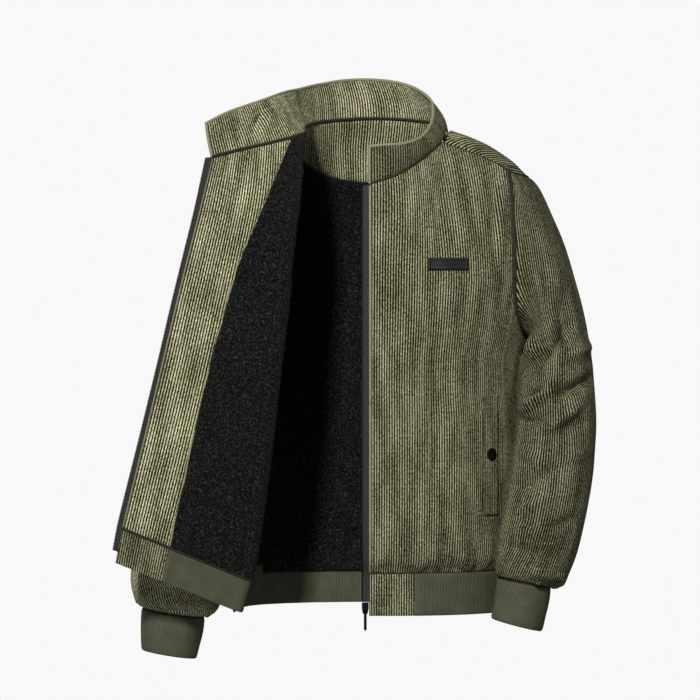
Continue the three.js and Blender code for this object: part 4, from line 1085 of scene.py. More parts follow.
def sherpa(settings):
    # Black polyester sherpa: short curled pile in clumps of 3 to 6 mm whose tips catch a little grey light.
    mat, tree, shader = material("sherpa pile", Roughness=0.95, Sheen_Weight=0.06, Specular_IOR_Level=0.12)
    fuzz = specks_of(tree, 2.381, roughness=0.6)
    colour = ramp(tree, fuzz, [(0.38, linear("#030303")), (0.52, linear("#141413")),
                               (0.74, settings.pile_tip_colour)])
    finish(tree, shader, colour, fuzz, 0.9, 2.0)
    return mat


# Plain finishes: name, colour, size of the mottling in mm, roughness, metal and depth of the grain in mm
PLAIN = {
    # Dark cords deep in the seams: painted shade in the seams' hollows, in the cotton's hue
    "seam_shade": ("painted seam shade", "#2a291d", 1.4286, 0.95, 0.0, 0.1),
    # The cloth's turned edge, where the ribs are pressed flat and the pile stands up; its lighter colour is also
    # a painted highlight along the edge
    "corduroy_edge": ("corduroy, turned edge", "#949173", 1.4286, 0.95, 0.0, 0.4),
    # Woven polyester zip tape: flat black with a slight grey of the weave
    "zip_weave": ("zip tape weave", "#2d2d2a", 1.1111, 0.85, 0.0, 0.1),
    # Woven label cloth: dense black satin weave with a soft shine
    "patch_weave": ("woven patch cloth", "#0c0d0d", 0.83333, 0.6, 0.0, 0.1),
    # Thin cord of the same cotton, without ribs, that edges the facing
    "piping": ("cotton piping", "#98957a", 1.4286, 0.9, 0.0, 0.1),
    # Spun polyester thread, dyed close to the cloth but darker
    "thread": ("sewing thread", "#4a4937", 0.66667, 0.8, 0.0, 0.1),
    # Black lacquer on brass or zinc: dark and fairly glossy, with edges that catch the light
    "black_metal": ("black lacquered metal", "#131313", 2.0, 0.34, 0.6, 0.03),
}


def plain(name, colour, size, roughness, metallic, depth):
    mat, tree, shader = material(name, Roughness=roughness, Metallic=metallic)
    grain = specks_of(tree, size / 3, detail=2)
    finish(tree, shader, mottled(tree, linear(colour)[:3], size, 0.8, 1.2), grain, 0.3, depth)
    return mat


# Pieces
# Creases are lines seen from the front or the back: from x, from z, to x, to z, half width, height, in mm
SLEEVE_LEFT_FRONT = [
    (198, -318, 254, -256, 7, -8), (214, -272, 193, -312, 8, 6), (234, -331, 196, -371, 7, 8),
    (226, -340, 195, -355, 5, -6), (238, -352, 282, -328, 7, -6), (246, -302, 284, -284, 8, 4),
    (222, -404, 266, -388, 9, -4), (206, -300, 232, -276, 5, 3), (196, -386, 216, -382, 5, -4),
    (188, -470, 232, -446, 9, -4), (176, -546, 226, -560, 7, -4), (200, -580, 244, -588, 5, 3),
    (232, -176, 228, -256, 12, 3), (248, -214, 240, -282, 8, -3), (268, -362, 236, -388, 6, 4),
    (186, -500, 214, -488, 6, 3), (226, -522, 256, -512, 6, -3), (190, -566, 214, -574, 4, -3),
    (192, -424, 214, -440, 7, 3), (250, -430, 272, -424, 8, 2.5), (182, -520, 206, -530, 6, 2.5),
]
SLEEVE_LEFT_BACK = [
    (200, -300, 246, -262, 12, -6), (236, -340, 196, -366, 11, 7), (222, -370, 276, -342, 9, -5),
    (214, -430, 258, -418, 13, -4), (190, -506, 236, -486, 12, -4), (186, -560, 240, -552, 8, -4),
    (238, -190, 236, -250, 14, 3),
]
SLEEVE_RIGHT_FRONT = [
    (-300, -606, -240, -618, 9, -5), (-250, -590, -222, -600, 8, 5), (-262, -300, -212, -336, 11, -5),
    (-226, -372, -276, -346, 10, 6), (-280, -410, -232, -424, 12, -4), (-250, -500, -206, -520, 11, -4),
]
SLEEVE_RIGHT_BACK = [
    (-204, -296, -254, -262, 12, -6), (-242, -342, -200, -372, 10, 6), (-224, -404, -272, -382, 10, -5),
    (-206, -470, -256, -452, 12, -4), (-214, -548, -262, -536, 9, -4),
]
FRONT_LEFT_FOLDS = [
    (160, -60, 158, -170, 9, -5), (167, -70, 165, -170, 6, 3), (142, -520, 168, -544, 5, -3),
    (92, -535, 94, -578, 8, -4), (60, -545, 58, -578, 8, 3), (44, -110, 52, -420, 12, 1.6),
    (72, -130, 76, -470, 13, -1.8), (108, -210, 112, -520, 16, 1.8), (26, -530, 24, -576, 5, -1.8),
    (40, -540, 42, -577, 5, 1.6), (76, -548, 78, -577, 5, 2), (118, -540, 116, -577, 7, 2.6),
    (134, -552, 132, -577, 5, -2.4), (150, -548, 154, -577, 6, 2), (128, -100, 142, -180, 12, -2),
]
FRONT_RIGHT_FOLDS = [
    (-250, -190, -200, -260, 12, -3), (-270, -300, -220, -380, 13, 3), (-300, -430, -240, -470, 12, -3),
    (-200, -540, -206, -578, 6, -3), (-240, -520, -244, -560, 6, 2.5),
]
BACK_FOLDS = [
    (-120, -70, -60, -150, 14, -3), (118, -74, 70, -160, 15, -3), (-60, -200, -52, -470, 18, 2.4),
    (24, -180, 34, -500, 20, -2.4), (96, -240, 88, -520, 17, 2.6), (-124, -260, -112, -500, 15, -2.6),
    (-140, -540, -136, -578, 7, -3), (-104, -535, -106, -577, 7, 3), (-70, -540, -74, -578, 6, -3),
    (-34, -546, -32, -577, 6, 2.6), (0, -538, 4, -578, 7, -3), (38, -544, 36, -577, 6, 2.6),
    (74, -536, 78, -578, 7, -3), (112, -542, 110, -577, 6, 3), (146, -538, 142, -578, 7, -3),
    (-164, -190, -130, -232, 11, -3), (166, -192, 134, -240, 11, -3),
]
FLAP_FOLDS = [
    (-206, -64, -216, -98, 7, -2.4), (-196, -66, -204, -104, 6, 1.8), (-300, -440, -280, -470, 12, -1.6),
    (-262, -262, -244, -300, 12, 1.6), (-284, -352, -262, -372, 10, -1.4),
]
COLLAR_RIGHT_FOLDS = [(-150, 44, -164, 2, 6, -4), (-136, 40, -146, 2, 6, 3), (-178, 24, -184, -14, 5, -2)]


# Shell pieces: their parts side by side as (function, columns, top row), and the rows' spacing
SHELL_PARTS = {
    "front_left": ([(left_front, FACING_COLS + CHEST_COLS, TOP_ROW),
                    (left_front_side, SIDE_COLS, LOWER_ROWS)], 4.6),
    "back": ([(back_side_left, SIDE_COLS, LOWER_ROWS), (back_middle, BACK_COLS, TOP_ROW),
              (back_side_right, SIDE_COLS, LOWER_ROWS)], 6.5),
    "front_right": ([(right_side, SIDE_COLS, LOWER_ROWS), (part_a, CHEST_COLS, TOP_ROW),
                     (roll_point, ROLL_COLS, TOP_ROW), (flap_point, 1, TOP_ROW)], 6.5),
}
MIDDLE_ROW = np.array([5.0])


def shell_cloth(name, pitch):
    """A piece of the shell, with as many whole wales across each part as fit at its middle row."""
    cloth, wales = Cloth(name + "_cloth"), 0.0
    parts, step = SHELL_PARTS[name]
    main = next(p for p in parts if p[2] == TOP_ROW)
    rows = row_values(main[0], 0, TOP_ROW, main[1] / 2, step, extra=[LOWER_ROWS])
    for part, cols, top in parts:
        line = even_columns(part, MIDDLE_ROW, (0, cols, 40))
        count = max(int(round(run_of(line)[0, -1] / pitch)), 1)
        points = even_columns(part, rows[rows <= top], (0, cols, count * WALE_STEPS))
        u = wales + np.arange(count * WALE_STEPS + 1) / WALE_STEPS
        cloth.add(points, u[None], points[..., 2])
        wales += count
    return cloth.weld()


def edge_columns(part, rows, cols, pitch, from_start):
    """Columns at set distances from one edge of a part, cut off where its other edge cuts across them."""
    points = lattice(part, rows, np.linspace(cols[0], cols[1], 120))
    if not from_start:
        points = points[:, ::-1]
    run = run_of(points)
    reach = np.arange(int(run[:, -1].max() / pitch * WALE_STEPS) + 2) * pitch / WALE_STEPS
    held = np.minimum(reach[None], run[:, -1:])
    result = np.array([at_run(line, length, d) for line, length, d in zip(points, run, held)])
    u = held / pitch
    if not from_start:
        result, u = result[:, ::-1], u[:, ::-1]
    return result, u


# The sleeve's cap: below which level its table gives its inner line, and the inner line above as (-z, x)
SLEEVE_COLS = 200
HALF_TURN_STEPS = 90
CAP_LEVEL = -280
CAP_REACH = 22
CAP_INNER = ((50, 190, 240, 280), (176, 178, 187, 205))


def sleeve_wales(points, table, sign):
    """How far round the sleeve each point lies from its outer line, measured on level rings."""
    rows = np.array(table[1], float)
    out_x, out_z, in_x, in_z, middle_y, half = rows[:, 1:].T * np.array([sign, 1, sign, 1, 1, 1])[:, None]
    low = in_z < CAP_LEVEL - 1
    z = points[..., 2]
    outer = np.interp(-z, -out_z, out_x)
    levels, lines = np.concatenate([CAP_INNER[0], -in_z[low]]), np.concatenate([CAP_INNER[1], in_x[low]])
    inner = np.interp(-z, levels, lines)
    reach = np.maximum((outer - inner) / 2, CAP_REACH)
    centre = outer - reach
    deep = np.interp(-z, -out_z, half)
    forward = points[..., 1] - np.interp(-z, -out_z, middle_y)
    angle = np.arctan2(forward / deep, (points[..., 0] * sign - centre) / reach)
    steps = np.linspace(0, math.pi, HALF_TURN_STEPS + 1)
    speed = np.hypot(reach[..., None] * np.sin(steps), deep[..., None] * np.cos(steps))
    run = np.cumsum(speed, -1) * (steps[1] - steps[0])
    place = np.abs(angle) / math.pi * HALF_TURN_STEPS
    below = np.minimum(place.astype(int), HALF_TURN_STEPS - 1)
    first = np.take_along_axis(run, below[..., None], -1)[..., 0]
    second = np.take_along_axis(run, below[..., None] + 1, -1)[..., 0]
    return np.sign(angle) * (first + (second - first) * (place - below))


def sleeve_cloth(name, armhole, table, sign, step, pitch):
    """A sleeve from its armhole to its cuff, as one tube."""
    part = lambda k, i: sleeve(armhole, table, sign, k, i)
    rows = row_values(part, 0, len(table[1]) - 1, 0, step)
    points = lattice(part, rows, np.linspace(0, ARMHOLE_STEPS, SLEEVE_COLS + 1))
    return Cloth(name).add(points, sleeve_wales(points, table, sign) / pitch, points[..., 2]).weld()


KNIT_PITCH = 2.2
BAND_ROWS = np.array([0, 0.02, 0.05, 0.12, 0.22, 0.34, 0.46, 0.58, 0.7, 0.8, 0.88, 0.94, 0.98, 1.0])
HEM_ENDS = (4, HEM_COLS - 5)


def knit_tube(name, part, rows, turns, count):
    """A doubled rib tube or band: cols round it, rows from its seam to its fold."""
    points = lattice(part, rows, np.linspace(turns[0], turns[1], count + 1))
    u = run_of(points)[len(rows) // 2][None] / KNIT_PITCH
    return Cloth(name).add(points, u, points[..., 2]).weld()


def doubled(cloth):
    """Rounds a doubled piece's rim, where the cloth turns, and gives the points of its far face."""
    far = cloth.points - cloth.normals() * KNIT_WALL
    cloth.move(-KNIT_WALL * 0.35 * (1 - smooth(cloth.border, 0, 2.2)))
    return far


def hem_piece(name, low, high, count, wales):
    """A stretch of the waistband; wales is the pitch of its ribs where it isn't knit."""
    part = lambda r, c: hem_band(c, 1 - r)
    cloth = knit_tube(name, part, 1 - BAND_ROWS[::-1], (low, high), count)
    if wales:
        cloth.corner_uv = cloth.corner_uv * [KNIT_PITCH / wales, 1]
        cloth.uv = cloth.uv * [KNIT_PITCH / wales, 1]
    return cloth


COLLAR_ROWS = np.array([0, 0.02, 0.045, 0.08, 0.14, 0.22, 0.31, 0.4, 0.5, 0.6, 0.69, 0.78, 0.86, 0.92, 0.955,
                        0.98, 1.0])
COLLAR_HEIGHT = 55


def collar_cloth(name, inside, pitch):
    """The outside or inside of the collar, with whole wales all along it."""
    part = lambda r, c: collar(c, r)
    line = even_columns(part, np.array([0.5]), (0, 1, 400))
    count = int(round(run_of(line)[0, -1] / pitch))
    points = even_columns(part, COLLAR_ROWS, (0, 1, count * WALE_STEPS))
    u = np.arange(count * WALE_STEPS + 1)[None] / WALE_STEPS
    return Cloth(name, inside).add(points, u, COLLAR_ROWS[:, None] * COLLAR_HEIGHT).weld()


def lining_cloth(name, parts, spacing):
    """Pile lining: lattices of (function, column range, row range)."""
    cloth = Cloth(name, inside=True)
    for part, cols, rows in parts:
        across = run_of(even_columns(part, np.array([np.mean(rows)]), (cols[0], cols[1], 40)))[0, -1]
        count = max(int(across / spacing), 2)
        levels = row_values(part, rows[0], rows[1], np.mean(cols), spacing, (False, False))
        points = even_columns(part, levels, (cols[0], cols[1], count))
        cloth.add(points, np.arange(count + 1)[None], points[..., 2])
    return cloth.weld()


# Clumps of the pile: height, size, seed
CLUMPS = ((0.75, 6.5, 3), (0.5, 3.4, 5))


def pile(cloth, depth):
    """Moves a lining in to its place and raises its clumps."""
    cloth.move(depth)
    clumps = sum(height * noise(cloth.points, size, seed) for height, size, seed in CLUMPS)
    return cloth.move(clumps * smooth(cloth.border, 0, 4) - 1.2 * (1 - smooth(cloth.border, 0, 3)))


# Sewing
def along_line(line, pitch):
    """Places a pitch apart along a line of points, with the direction there."""
    run = run_of(line[None])[0]
    wanted = np.arange(0.5 * pitch, run[-1], pitch)
    here = at_run(line, run, wanted)
    ahead = at_run(line, run, np.minimum(wanted + 0.5, run[-1]))
    behind = at_run(line, run, np.maximum(wanted - 0.5, 0))
    return here, unit(ahead - behind)


def repeated(name, corners, faces, places, along, out, finish):
    """One mesh of copies of a small shape: its x runs along, its z stands out of the cloth."""
    across = unit(np.cross(out, along))
    out = unit(np.cross(along, across))
    shape = np.array(corners, float)
    points = (places[:, None] + shape[None, :, :1] * along[:, None] + shape[None, :, 1:2] * across[:, None]
              + shape[None, :, 2:] * out[:, None])
    quads = np.array(faces)[None] + (np.arange(len(places)) * len(shape))[:, None, None]
    quads = quads.reshape(-1, 4)
    obj = mesh_object(name, points.reshape(-1, 3), quads, np.zeros((len(quads), 4, 2)), Kit.made[finish])
    declare(obj, ())


STITCH = {"long": 2.7, "pitch": 3.5, "half": 0.34, "rise": 0.3, "lift": 0.15}
STITCH_TO_EDGE = 6.5


def stitch_shape():
    """A short thread, arched over the cloth with both ends in it."""
    ring = [(0, 1), (0.87, -0.5), (-0.87, -0.5)]
    stations = [(-0.5, -0.45, 0.8), (-0.32, 0.1, 1), (0, STITCH["rise"], 1), (0.32, 0.1, 1),
                (0.5, -0.45, 0.8)]
    corners = [(x * STITCH["long"], a * STITCH["half"] * size, b * STITCH["half"] * size + z)
               for x, z, size in stations for a, b in ring]
    faces = [(3 * s + i, 3 * s + (i + 1) % 3, 3 * s + 3 + (i + 1) % 3, 3 * s + 3 + i)
             for s in range(4) for i in range(3)]
    faces += [(0, 2, 1, 1), (12, 13, 14, 14)]
    return corners, faces


def closest(cloth, lines):
    """Lies points on a cloth's visible side: the nearest point of its mesh and the direction out of it."""
    tree = tree_of(cloth.points)
    normals = cloth.normals()
    found = [tree.find(p) for p in lines]
    index = np.array([f[1] for f in found])
    out = normals[index]
    gap = ((cloth.points[index] - lines) * out).sum(1)
    return lines + out * gap[:, None], out


def stitched(name, cloth, lines):
    """Topstitching: short threads laid along lines on a cloth."""
    places, along = map(np.concatenate, zip(*[along_line(line, STITCH["pitch"]) for line in lines]))
    places, out = closest(cloth, places)
    corners, faces = stitch_shape()
    repeated(name, corners, faces, places + out * STITCH["lift"], along, out, "thread")


def beside(line, toward, distance):
    """A line moved a distance toward another line with as many points."""
    return line + unit(toward - line) * distance


# Trims
def tape_lines(edge, inner, out, turn, low, high):
    """Both long edges of a zip tape that stands out of a front's edge, and where its face looks."""
    flat = inner - edge
    flat = unit(flat - out * (flat * out).sum(1)[:, None])
    away = unit(-flat + out * turn)
    return edge + away * low, edge + away * high, unit(out + flat * turn)


def edge_line(part, col, rows, band_col, foot):
    """A front's edge from the foot of its zip in the waistband up to the neck seam."""
    downs = np.linspace(foot, 0, 12, endpoint=False)
    low = hem_band(np.full(12, float(band_col)), downs)
    return np.concatenate([low, part(rows, np.full_like(rows, float(col)))])


# The zip, in millimetres, and how far down the waistband its tapes reach
TAPE_FOOT = 0.666
TAPE_REACH = (-4, 9.5)
TAPE_REACH_RIGHT = (-4, 7.5)
TAPE_TURN_RIGHT = 3.0
TAPE_DEPTH = 0.8
TAPE_WALL = 1.1
TOOTH_PITCH = 1.9


# A tooth, in metres: its size along the tape, across it and through it
TOOTH_SIZE = (0.0012, 0.0022, 0.0027)
TOOTH_SHIFT = -0.0004
TOOTH_ROUND = 0.00022


def tooth():
    """One moulded zip tooth, modelled once: its corners in millimetres and its faces."""
    for obj in bpy.context.selected_objects:
        obj.select_set(False)
    bpy.ops.mesh.primitive_cube_add(size=1, location=(0, 0, 0))
    made = bpy.context.object
    bpy.ops.object.mode_set(mode="EDIT")
    bpy.ops.mesh.select_all(action="SELECT")
    bpy.ops.transform.resize(value=TOOTH_SIZE)
    bpy.ops.transform.translate(value=(0, TOOTH_SHIFT, 0))
    bpy.ops.mesh.bevel(offset=TOOTH_ROUND, segments=1, affect="EDGES")
    bpy.ops.object.mode_set(mode="OBJECT")
    corners = [tuple(v.co / MM) for v in made.data.vertices]
    faces = [(*f.vertices, f.vertices[-1])[:4] for f in made.data.polygons]
    bpy.data.objects.remove(made)
    return corners, faces


def zip_tape(right):
    """One half of the zip: its tape, which stands out of the front's edge, and its teeth."""
    rows = np.linspace(0.02, TOP_ROW, 130)
    part, cols, band = left_front, (0, 0.5), (0, 0.5)
    if right:
        part, cols, band = flap_facing, (FACING_COLS, FACING_COLS - 0.5), (HEM_COLS, HEM_COLS - 0.5)
    edge = edge_line(part, cols[0], rows, band[0], TAPE_FOOT)
    inner = edge_line(part, cols[1], rows, band[1], TAPE_FOOT)
    up = unit(np.gradient(edge, axis=0))
    out = unit(np.cross(up, inner - edge) if right else np.cross(inner - edge, up))
    low, high = TAPE_REACH_RIGHT if right else TAPE_REACH
    first, last, face = tape_lines(edge, inner, out, TAPE_TURN_RIGHT if right else 0, low, high)
    across = np.linspace(0, 1, 9)
    name = "zip_tape_right" if right else "zip_tape_left"
    cloth = Cloth(name + "_cloth", inside=not right)
    points = first[:, None] + (last - first)[:, None] * across[None, :, None]
    cloth.add(points, across[None] * 4, points[..., 2]).weld()
    normals = cloth.normals()
    side = np.sign((normals * face[0]).sum(1).mean())
    middle = cloth.points - normals * side * (TAPE_DEPTH + TAPE_WALL / 2)
    cloth.points = middle + normals * TAPE_WALL / 2
    cloth.sewn("zip_weave", "zip_tape", name, back=middle - normals * TAPE_WALL / 2)
    teeth_line = last - face * (TAPE_DEPTH + TAPE_WALL / 2)
    places, along = along_line(teeth_line, TOOTH_PITCH)
    run = run_of(teeth_line[None])[0]
    looks = unit(at_run(face, run, np.arange(0.5 * TOOTH_PITCH, run[-1], TOOTH_PITCH)))
    corners, faces = tooth()
    toward = -1 if right else 1
    repeated(name + "_teeth", [(x, y * toward, z) for x, y, z in corners],
             faces if toward > 0 else [f[::-1] for f in faces], places, along, looks,
              "black_metal")


VIEW_FROM = -400


def ray_spots(cloth, x, z):
    """Points on a cloth that faces the front, at each x and z."""
    tree = BVHTree.FromPolygons([tuple(p) for p in cloth.points], [tuple(q) for q in cloth.quads.tolist()])
    spots = [tree.ray_cast((a, VIEW_FROM, b), (0, 1, 0))[0] for a, b in zip(x.ravel(), z.ravel())]
    return np.array(spots).reshape(x.shape + (3,))


def applied(node, points, finish, slot, wall, pitch, lift=0.6, ribbed=True, frame_rise=0.0):
    """A small piece sewn on a front: its face stands a wall above the cloth and its edge is drawn down."""
    cloth = Cloth(node + "_cloth")
    cloth.add(points, run_of(points)[0][None] / pitch, points[..., 2]).weld()
    frame = smooth(cloth.border, 0.8, 1.6) - smooth(cloth.border, 2.6, 3.4)
    cloth.move(lift + wall - 0.9 * (1 - smooth(cloth.border, 0, 1.8)) + frame_rise * frame)
    if ribbed:
        cloth.wales(Kit.depth, 0.0)
    return cloth.sewn(finish, slot, node, thickness=wall)


# Boxes on the left front, seen from the front: low x, high x, low z, high z
WELT_BOX = (139.4, 159.8, -508, -349)
PATCH_BOX = (66, 120.5, -185.5, -169.2)


def grid_of(box, step):
    """Places a step apart over a box."""
    across = max(int((box[1] - box[0]) / step), 2)
    up = max(int((box[3] - box[2]) / step), 2)
    return np.meshgrid(np.linspace(box[0], box[1], across + 1), np.linspace(box[2], box[3], up + 1))


def ring_out(line):
    """Directions away from the middle of a closed line."""
    return unit(line - line.mean(0))


TUBE_SIDES = 8


def tube_along(name, line, radius, finish):
    """A cord of cloth, such as piping, along a line; both ends are closed."""
    sides = TUBE_SIDES
    along = unit(np.gradient(line, axis=0))
    side = unit(np.cross(along, np.array([0.0, 0.0, 1.0]) + 1e-3))
    up = np.cross(side, along)
    angle = np.linspace(0, 2 * math.pi, sides, endpoint=False)
    ring = np.cos(angle)[:, None] * side[:, None] + np.sin(angle)[:, None] * up[:, None]
    points = (line[:, None] + radius * ring).reshape(-1, 3)
    index = np.arange(len(line) * sides).reshape(-1, sides)
    following = np.roll(index, -1, 1)
    quads = np.stack([index[:-1], index[1:], following[1:], following[:-1]], -1).reshape(-1, 4)
    ends = [[index[0, 0], index[0, i], index[0, i + 1], index[0, i + 1]] for i in range(1, sides - 1)]
    ends += [[index[-1, 0], index[-1, i + 1], index[-1, i], index[-1, i]] for i in range(1, sides - 1)]
    quads = np.concatenate([quads, ends])
    obj = mesh_object(name, points, quads, np.zeros((len(quads), 4, 2)), Kit.made[finish])
    declare(obj, ())


# Add-on
def colour_property(name, description, hex_colour):
    return FloatVectorProperty(name=name, description=description, default=linear(hex_colour), size=4,
                               min=0, max=1, subtype="COLOR")


class JacketSettings(PropertyGroup):
    wale_pitch: FloatProperty(name="Wale pitch", description="From one rib of the corduroy to the next",
                              default=0.0033, unit="LENGTH")
    wale_depth: FloatProperty(name="Wale depth", description="How deep the grooves between the ribs are",
                              default=0.0006, unit="LENGTH")
    # The crowns' colour is lighter as worn pile and as painted highlight; the grooves' colour is the ground
    # weave with painted shade
    crown_wear_and_highlight_colour: colour_property("Rib crowns", "Colour of the worn, painted-highlight crowns of the corduroy's ribs", "#b6b394")
    pile_colour: colour_property("Pile", "Colour of the corduroy's pile", "#787758")
    groove_weave_and_shade_colour: colour_property("Groove weave and painted shade", "Colour in the grooves between the ribs", "#14140d")
    knit_colour: colour_property("Rib knit", "Colour of the cuffs and the waistband", "#6f705a")
    pile_tip_colour: colour_property("Sherpa tips", "Colour of the tips of the lining's pile", "#454543")
    key_watts: FloatProperty(name="Key light", description="Power of the main light", default=190.0,
                             unit="POWER")
    fill_strength: FloatProperty(name="Fill light", description="Strength of the light from all round",
                                 default=0.22)
    backdrop: FloatProperty(name="Backdrop", description="How bright the paper behind the jacket is",
                            default=0.94)


class JACKET_OT_materials(Operator):
    """Makes the materials"""
    bl_idname = "jacket.materials"
    bl_label = "Materials"

    def execute(self, context):
        settings = context.scene.jacket_settings
        Kit.made = {key: corduroy(settings, *lit_copy) for key, lit_copy in CORDUROY_LIT_AND_SHADED.items()}
        Kit.made.update({key: plain(*look) for key, look in PLAIN.items()})
        Kit.made.update(rib_knit=rib_knit(settings), sherpa=sherpa(settings))
        for node in ("zip_slider", "zip_pull", "press_stud_left", "press_stud_right"):
            obj = bpy.data.objects[node]
            obj.data.materials.clear()
            obj.data.materials.append(Kit.made["black_metal"])
        return {"FINISHED"}


# Where the left front and sleeve swell toward each other
UNDERARM_LEFT = (203, -12, -306)
# Turned edges: radius, and depth under the edge
EDGE_ROLL = 2.1
EDGE_DEPTH = 1.9


def rolled_edge(name, edge, out, depth=EDGE_DEPTH, radius=EDGE_ROLL, finish="corduroy_edge"):
    """The turned edge between a piece and its facing, at a depth under the outer piece's edge."""
    tube_along(name, edge - out * depth, radius, finish)


class JACKET_OT_front_left(Operator):
    """Adds the left front with its pocket welt, chest patch and topstitching"""
    bl_idname = "jacket.front_left"
    bl_label = "Left front"

    def execute(self, context):
        kit = values()
        cloth = shell_cloth("front_left", kit.pitch).soft(1.6, 60, 2).folds(FRONT_LEFT_FOLDS)
        cloth.gathers(HEM_SEAM, 2.6).swell(UNDERARM_LEFT, 42, 4)
        welt_points = ray_spots(cloth, *grid_of(WELT_BOX, 0.85))
        patch_points = ray_spots(cloth, *grid_of(PATCH_BOX, 1.3))
        rows = np.linspace(0, TOP_ROW - 0.2, 260)
        edge, inner, second = (left_front(rows, np.full(260, col)) for col in (0.0, 0.5, 1.0))
        stitch = beside(edge, second, STITCH_TO_EDGE)
        cloth.groove([stitch], 1.6, 0.8).wales(kit.depth).sewn("corduroy", "corduroy", "front_left")
        stitched("front_left_stitching", cloth, [stitch])
        out = unit(np.cross(inner - edge, unit(np.gradient(edge, axis=0))))
        rolled_edge("front_left_edge", edge + unit(inner - edge) * 1.6, out)

        welt = applied("pocket_welt_left", welt_points, "corduroy", "corduroy", 1.6, kit.pitch)
        low_x, high_x, low_z, high_z = WELT_BOX
        left, right, foot, top = low_x + 3, high_x - 3, low_z + 3, high_z - 3
        corners = ((left, top), (left, foot), (right, foot), (right, top), (left, top))
        line = np.array([(x, -120, z) for x, z in corners])
        stitched("pocket_stitching", welt, [dense_line(line, 1.0)])
        applied("chest_patch", patch_points, "patch_weave", "woven_patch", 1.1, 2.0, ribbed=False,
                frame_rise=0.7)
        return {"FINISHED"}


class JACKET_OT_back(Operator):
    """Adds the back"""
    bl_idname = "jacket.back"
    bl_label = "Back"

    def execute(self, context):
        kit = values()
        cloth = shell_cloth("back", kit.pitch).soft(2.2, 80, 4).folds(BACK_FOLDS, 1).gathers(HEM_SEAM, 1.8)
        cloth.wales(kit.depth).sewn("corduroy", "corduroy", "back")
        return {"FINISHED"}


class JACKET_OT_front_right(Operator):
    """Adds the right front, whose flap is folded open, and its pocket welt"""
    bl_idname = "jacket.front_right"
    bl_label = "Right front"

    def execute(self, context):
        kit = values()
        cloth = shell_cloth("front_right", kit.pitch).soft(1.0, 80, 6).folds(FRONT_RIGHT_FOLDS, 1)
        cloth.gathers(HEM_SEAM, 1.4).wales(kit.depth).sewn("corduroy", "corduroy", "front_right")
        foot, top = (LOWER_ROWS * (z - HEM_SEAM) / (SPLIT_LEVEL - HEM_SEAM) for z in WELT_BOX[2:])
        points = lattice(part_a, np.linspace(foot, top, 60), np.linspace(1.4, 3.4, 26))
        applied("pocket_welt_right", points, "corduroy", "corduroy", 1.6, kit.pitch, lift=1.0)
        return {"FINISHED"}


# name, armhole, sleeve, cuff, side, row spacing, folds in front, folds behind, material
SLEEVES = (
    ("left", left_armhole, LEFT_SLEEVE, LEFT_CUFF, 1, 4.6, SLEEVE_LEFT_FRONT, SLEEVE_LEFT_BACK,
     "corduroy_sleeve"),
    # The right sleeve's corduroy is lighter in colour as painted light
    ("right", right_armhole, RIGHT_SLEEVE, RIGHT_CUFF, -1, 6.5, SLEEVE_RIGHT_FRONT, SLEEVE_RIGHT_BACK,
     "corduroy_sleeve_painted_light"),
)
SLEEVE_FOOT = -600


class JACKET_OT_sleeves(Operator):
    """Adds both sleeves and their rib cuffs"""
    bl_idname = "jacket.sleeves"
    bl_label = "Sleeves and cuffs"

    def execute(self, context):
        kit = values()
        for name, hole, table, cuff_table, side, step, front, back, finish in SLEEVES:
            cloth = sleeve_cloth(f"sleeve_{name}_cloth", hole, table, side, step, kit.pitch)
            if side > 0:
                cloth.swell(UNDERARM_LEFT, 42, 6)
            cloth.soft(1.6, 55, 8).folds(front, -1, 2.3).folds(back, 1, 1.6).gathers(SLEEVE_FOOT, 3.0)
            cloth.wales(0, 3.0, 7.0).sewn(finish, "corduroy", f"sleeve_{name}")
            part = lambda k, i: cuff(hole, table, cuff_table, side, k, i)
            rows = BAND_ROWS * (len(cuff_table[1]) - 1)
            band = knit_tube(f"cuff_{name}_knit", part, rows, (0, ARMHOLE_STEPS), 130)
            gathers = 0.8 * noise(band.points * PUCKER_STRETCH, 9, 11)
            band.move(gathers * smooth(band.border, 0, 8))
            band.sewn("rib_knit", "rib_knit", f"cuff_{name}", back=doubled(band))
        return {"FINISHED"}


# How much wider the wales look inside the collar and the facings, which are nearer to the eye
NEAR_PITCH = 1.13


class JACKET_OT_collar(Operator):
    """Adds the outside and inside of the stand collar"""
    bl_idname = "jacket.collar"
    bl_label = "Collar"

    def execute(self, context):
        kit = values()
        s = np.linspace(0.01, 0.99, 500)
        lines = [beside(collar(s, np.ones(500)), collar(s, np.full(500, 0.5)), 5.5)]
        # The collar's outside takes the darker corduroy, painted shade, and its inside the lighter one, painted
        # light
        for name, depth, finish in (("collar_outer", 0.0, "corduroy_painted_shade"),
                                    ("collar_inner", INNER_DEPTH + FACING_WALL, "corduroy_painted_light")):
            cloth = collar_cloth(name + "_cloth", depth > 0, kit.pitch * NEAR_PITCH)
            cloth.move(depth).soft(0.8, 40, 12).folds(COLLAR_RIGHT_FOLDS).groove(lines, 1.5, 0.8)
            cloth.wales(kit.depth).sewn(finish, "corduroy", name)
            stitched(name + "_stitching", cloth, lines)
        s = np.linspace(0, 1, 420)
        top, seam = collar(s, np.ones(420)), collar(s, np.zeros(420))
        out = unit(np.cross(np.gradient(top, axis=0), top - seam))
        rolled_edge("collar_top_edge", top - unit(top - seam) * 0.9, out)
        # A dark cord in the neck seam: painted shade of its hollow
        rolled_edge("neck_seam_painted_shade", seam + unit(top - seam) * 0.6, out, 2.4, 2.3, "seam_shade")
        u = np.linspace(0, 1, 40)
        for name, end, near in (("collar_left_edge", 0.0, 0.01), ("collar_right_edge", 1.0, 0.99)):
            edge, inner = collar(np.full(40, end), u), collar(np.full(40, near), u)
            along, toward = unit(np.gradient(edge, axis=0)), unit(inner - edge)
            out = unit(np.cross(toward, along) if end == 0 else np.cross(along, toward))
            rolled_edge(name, edge + toward * 1.2, out, radius=2.0)
        return {"FINISHED"}


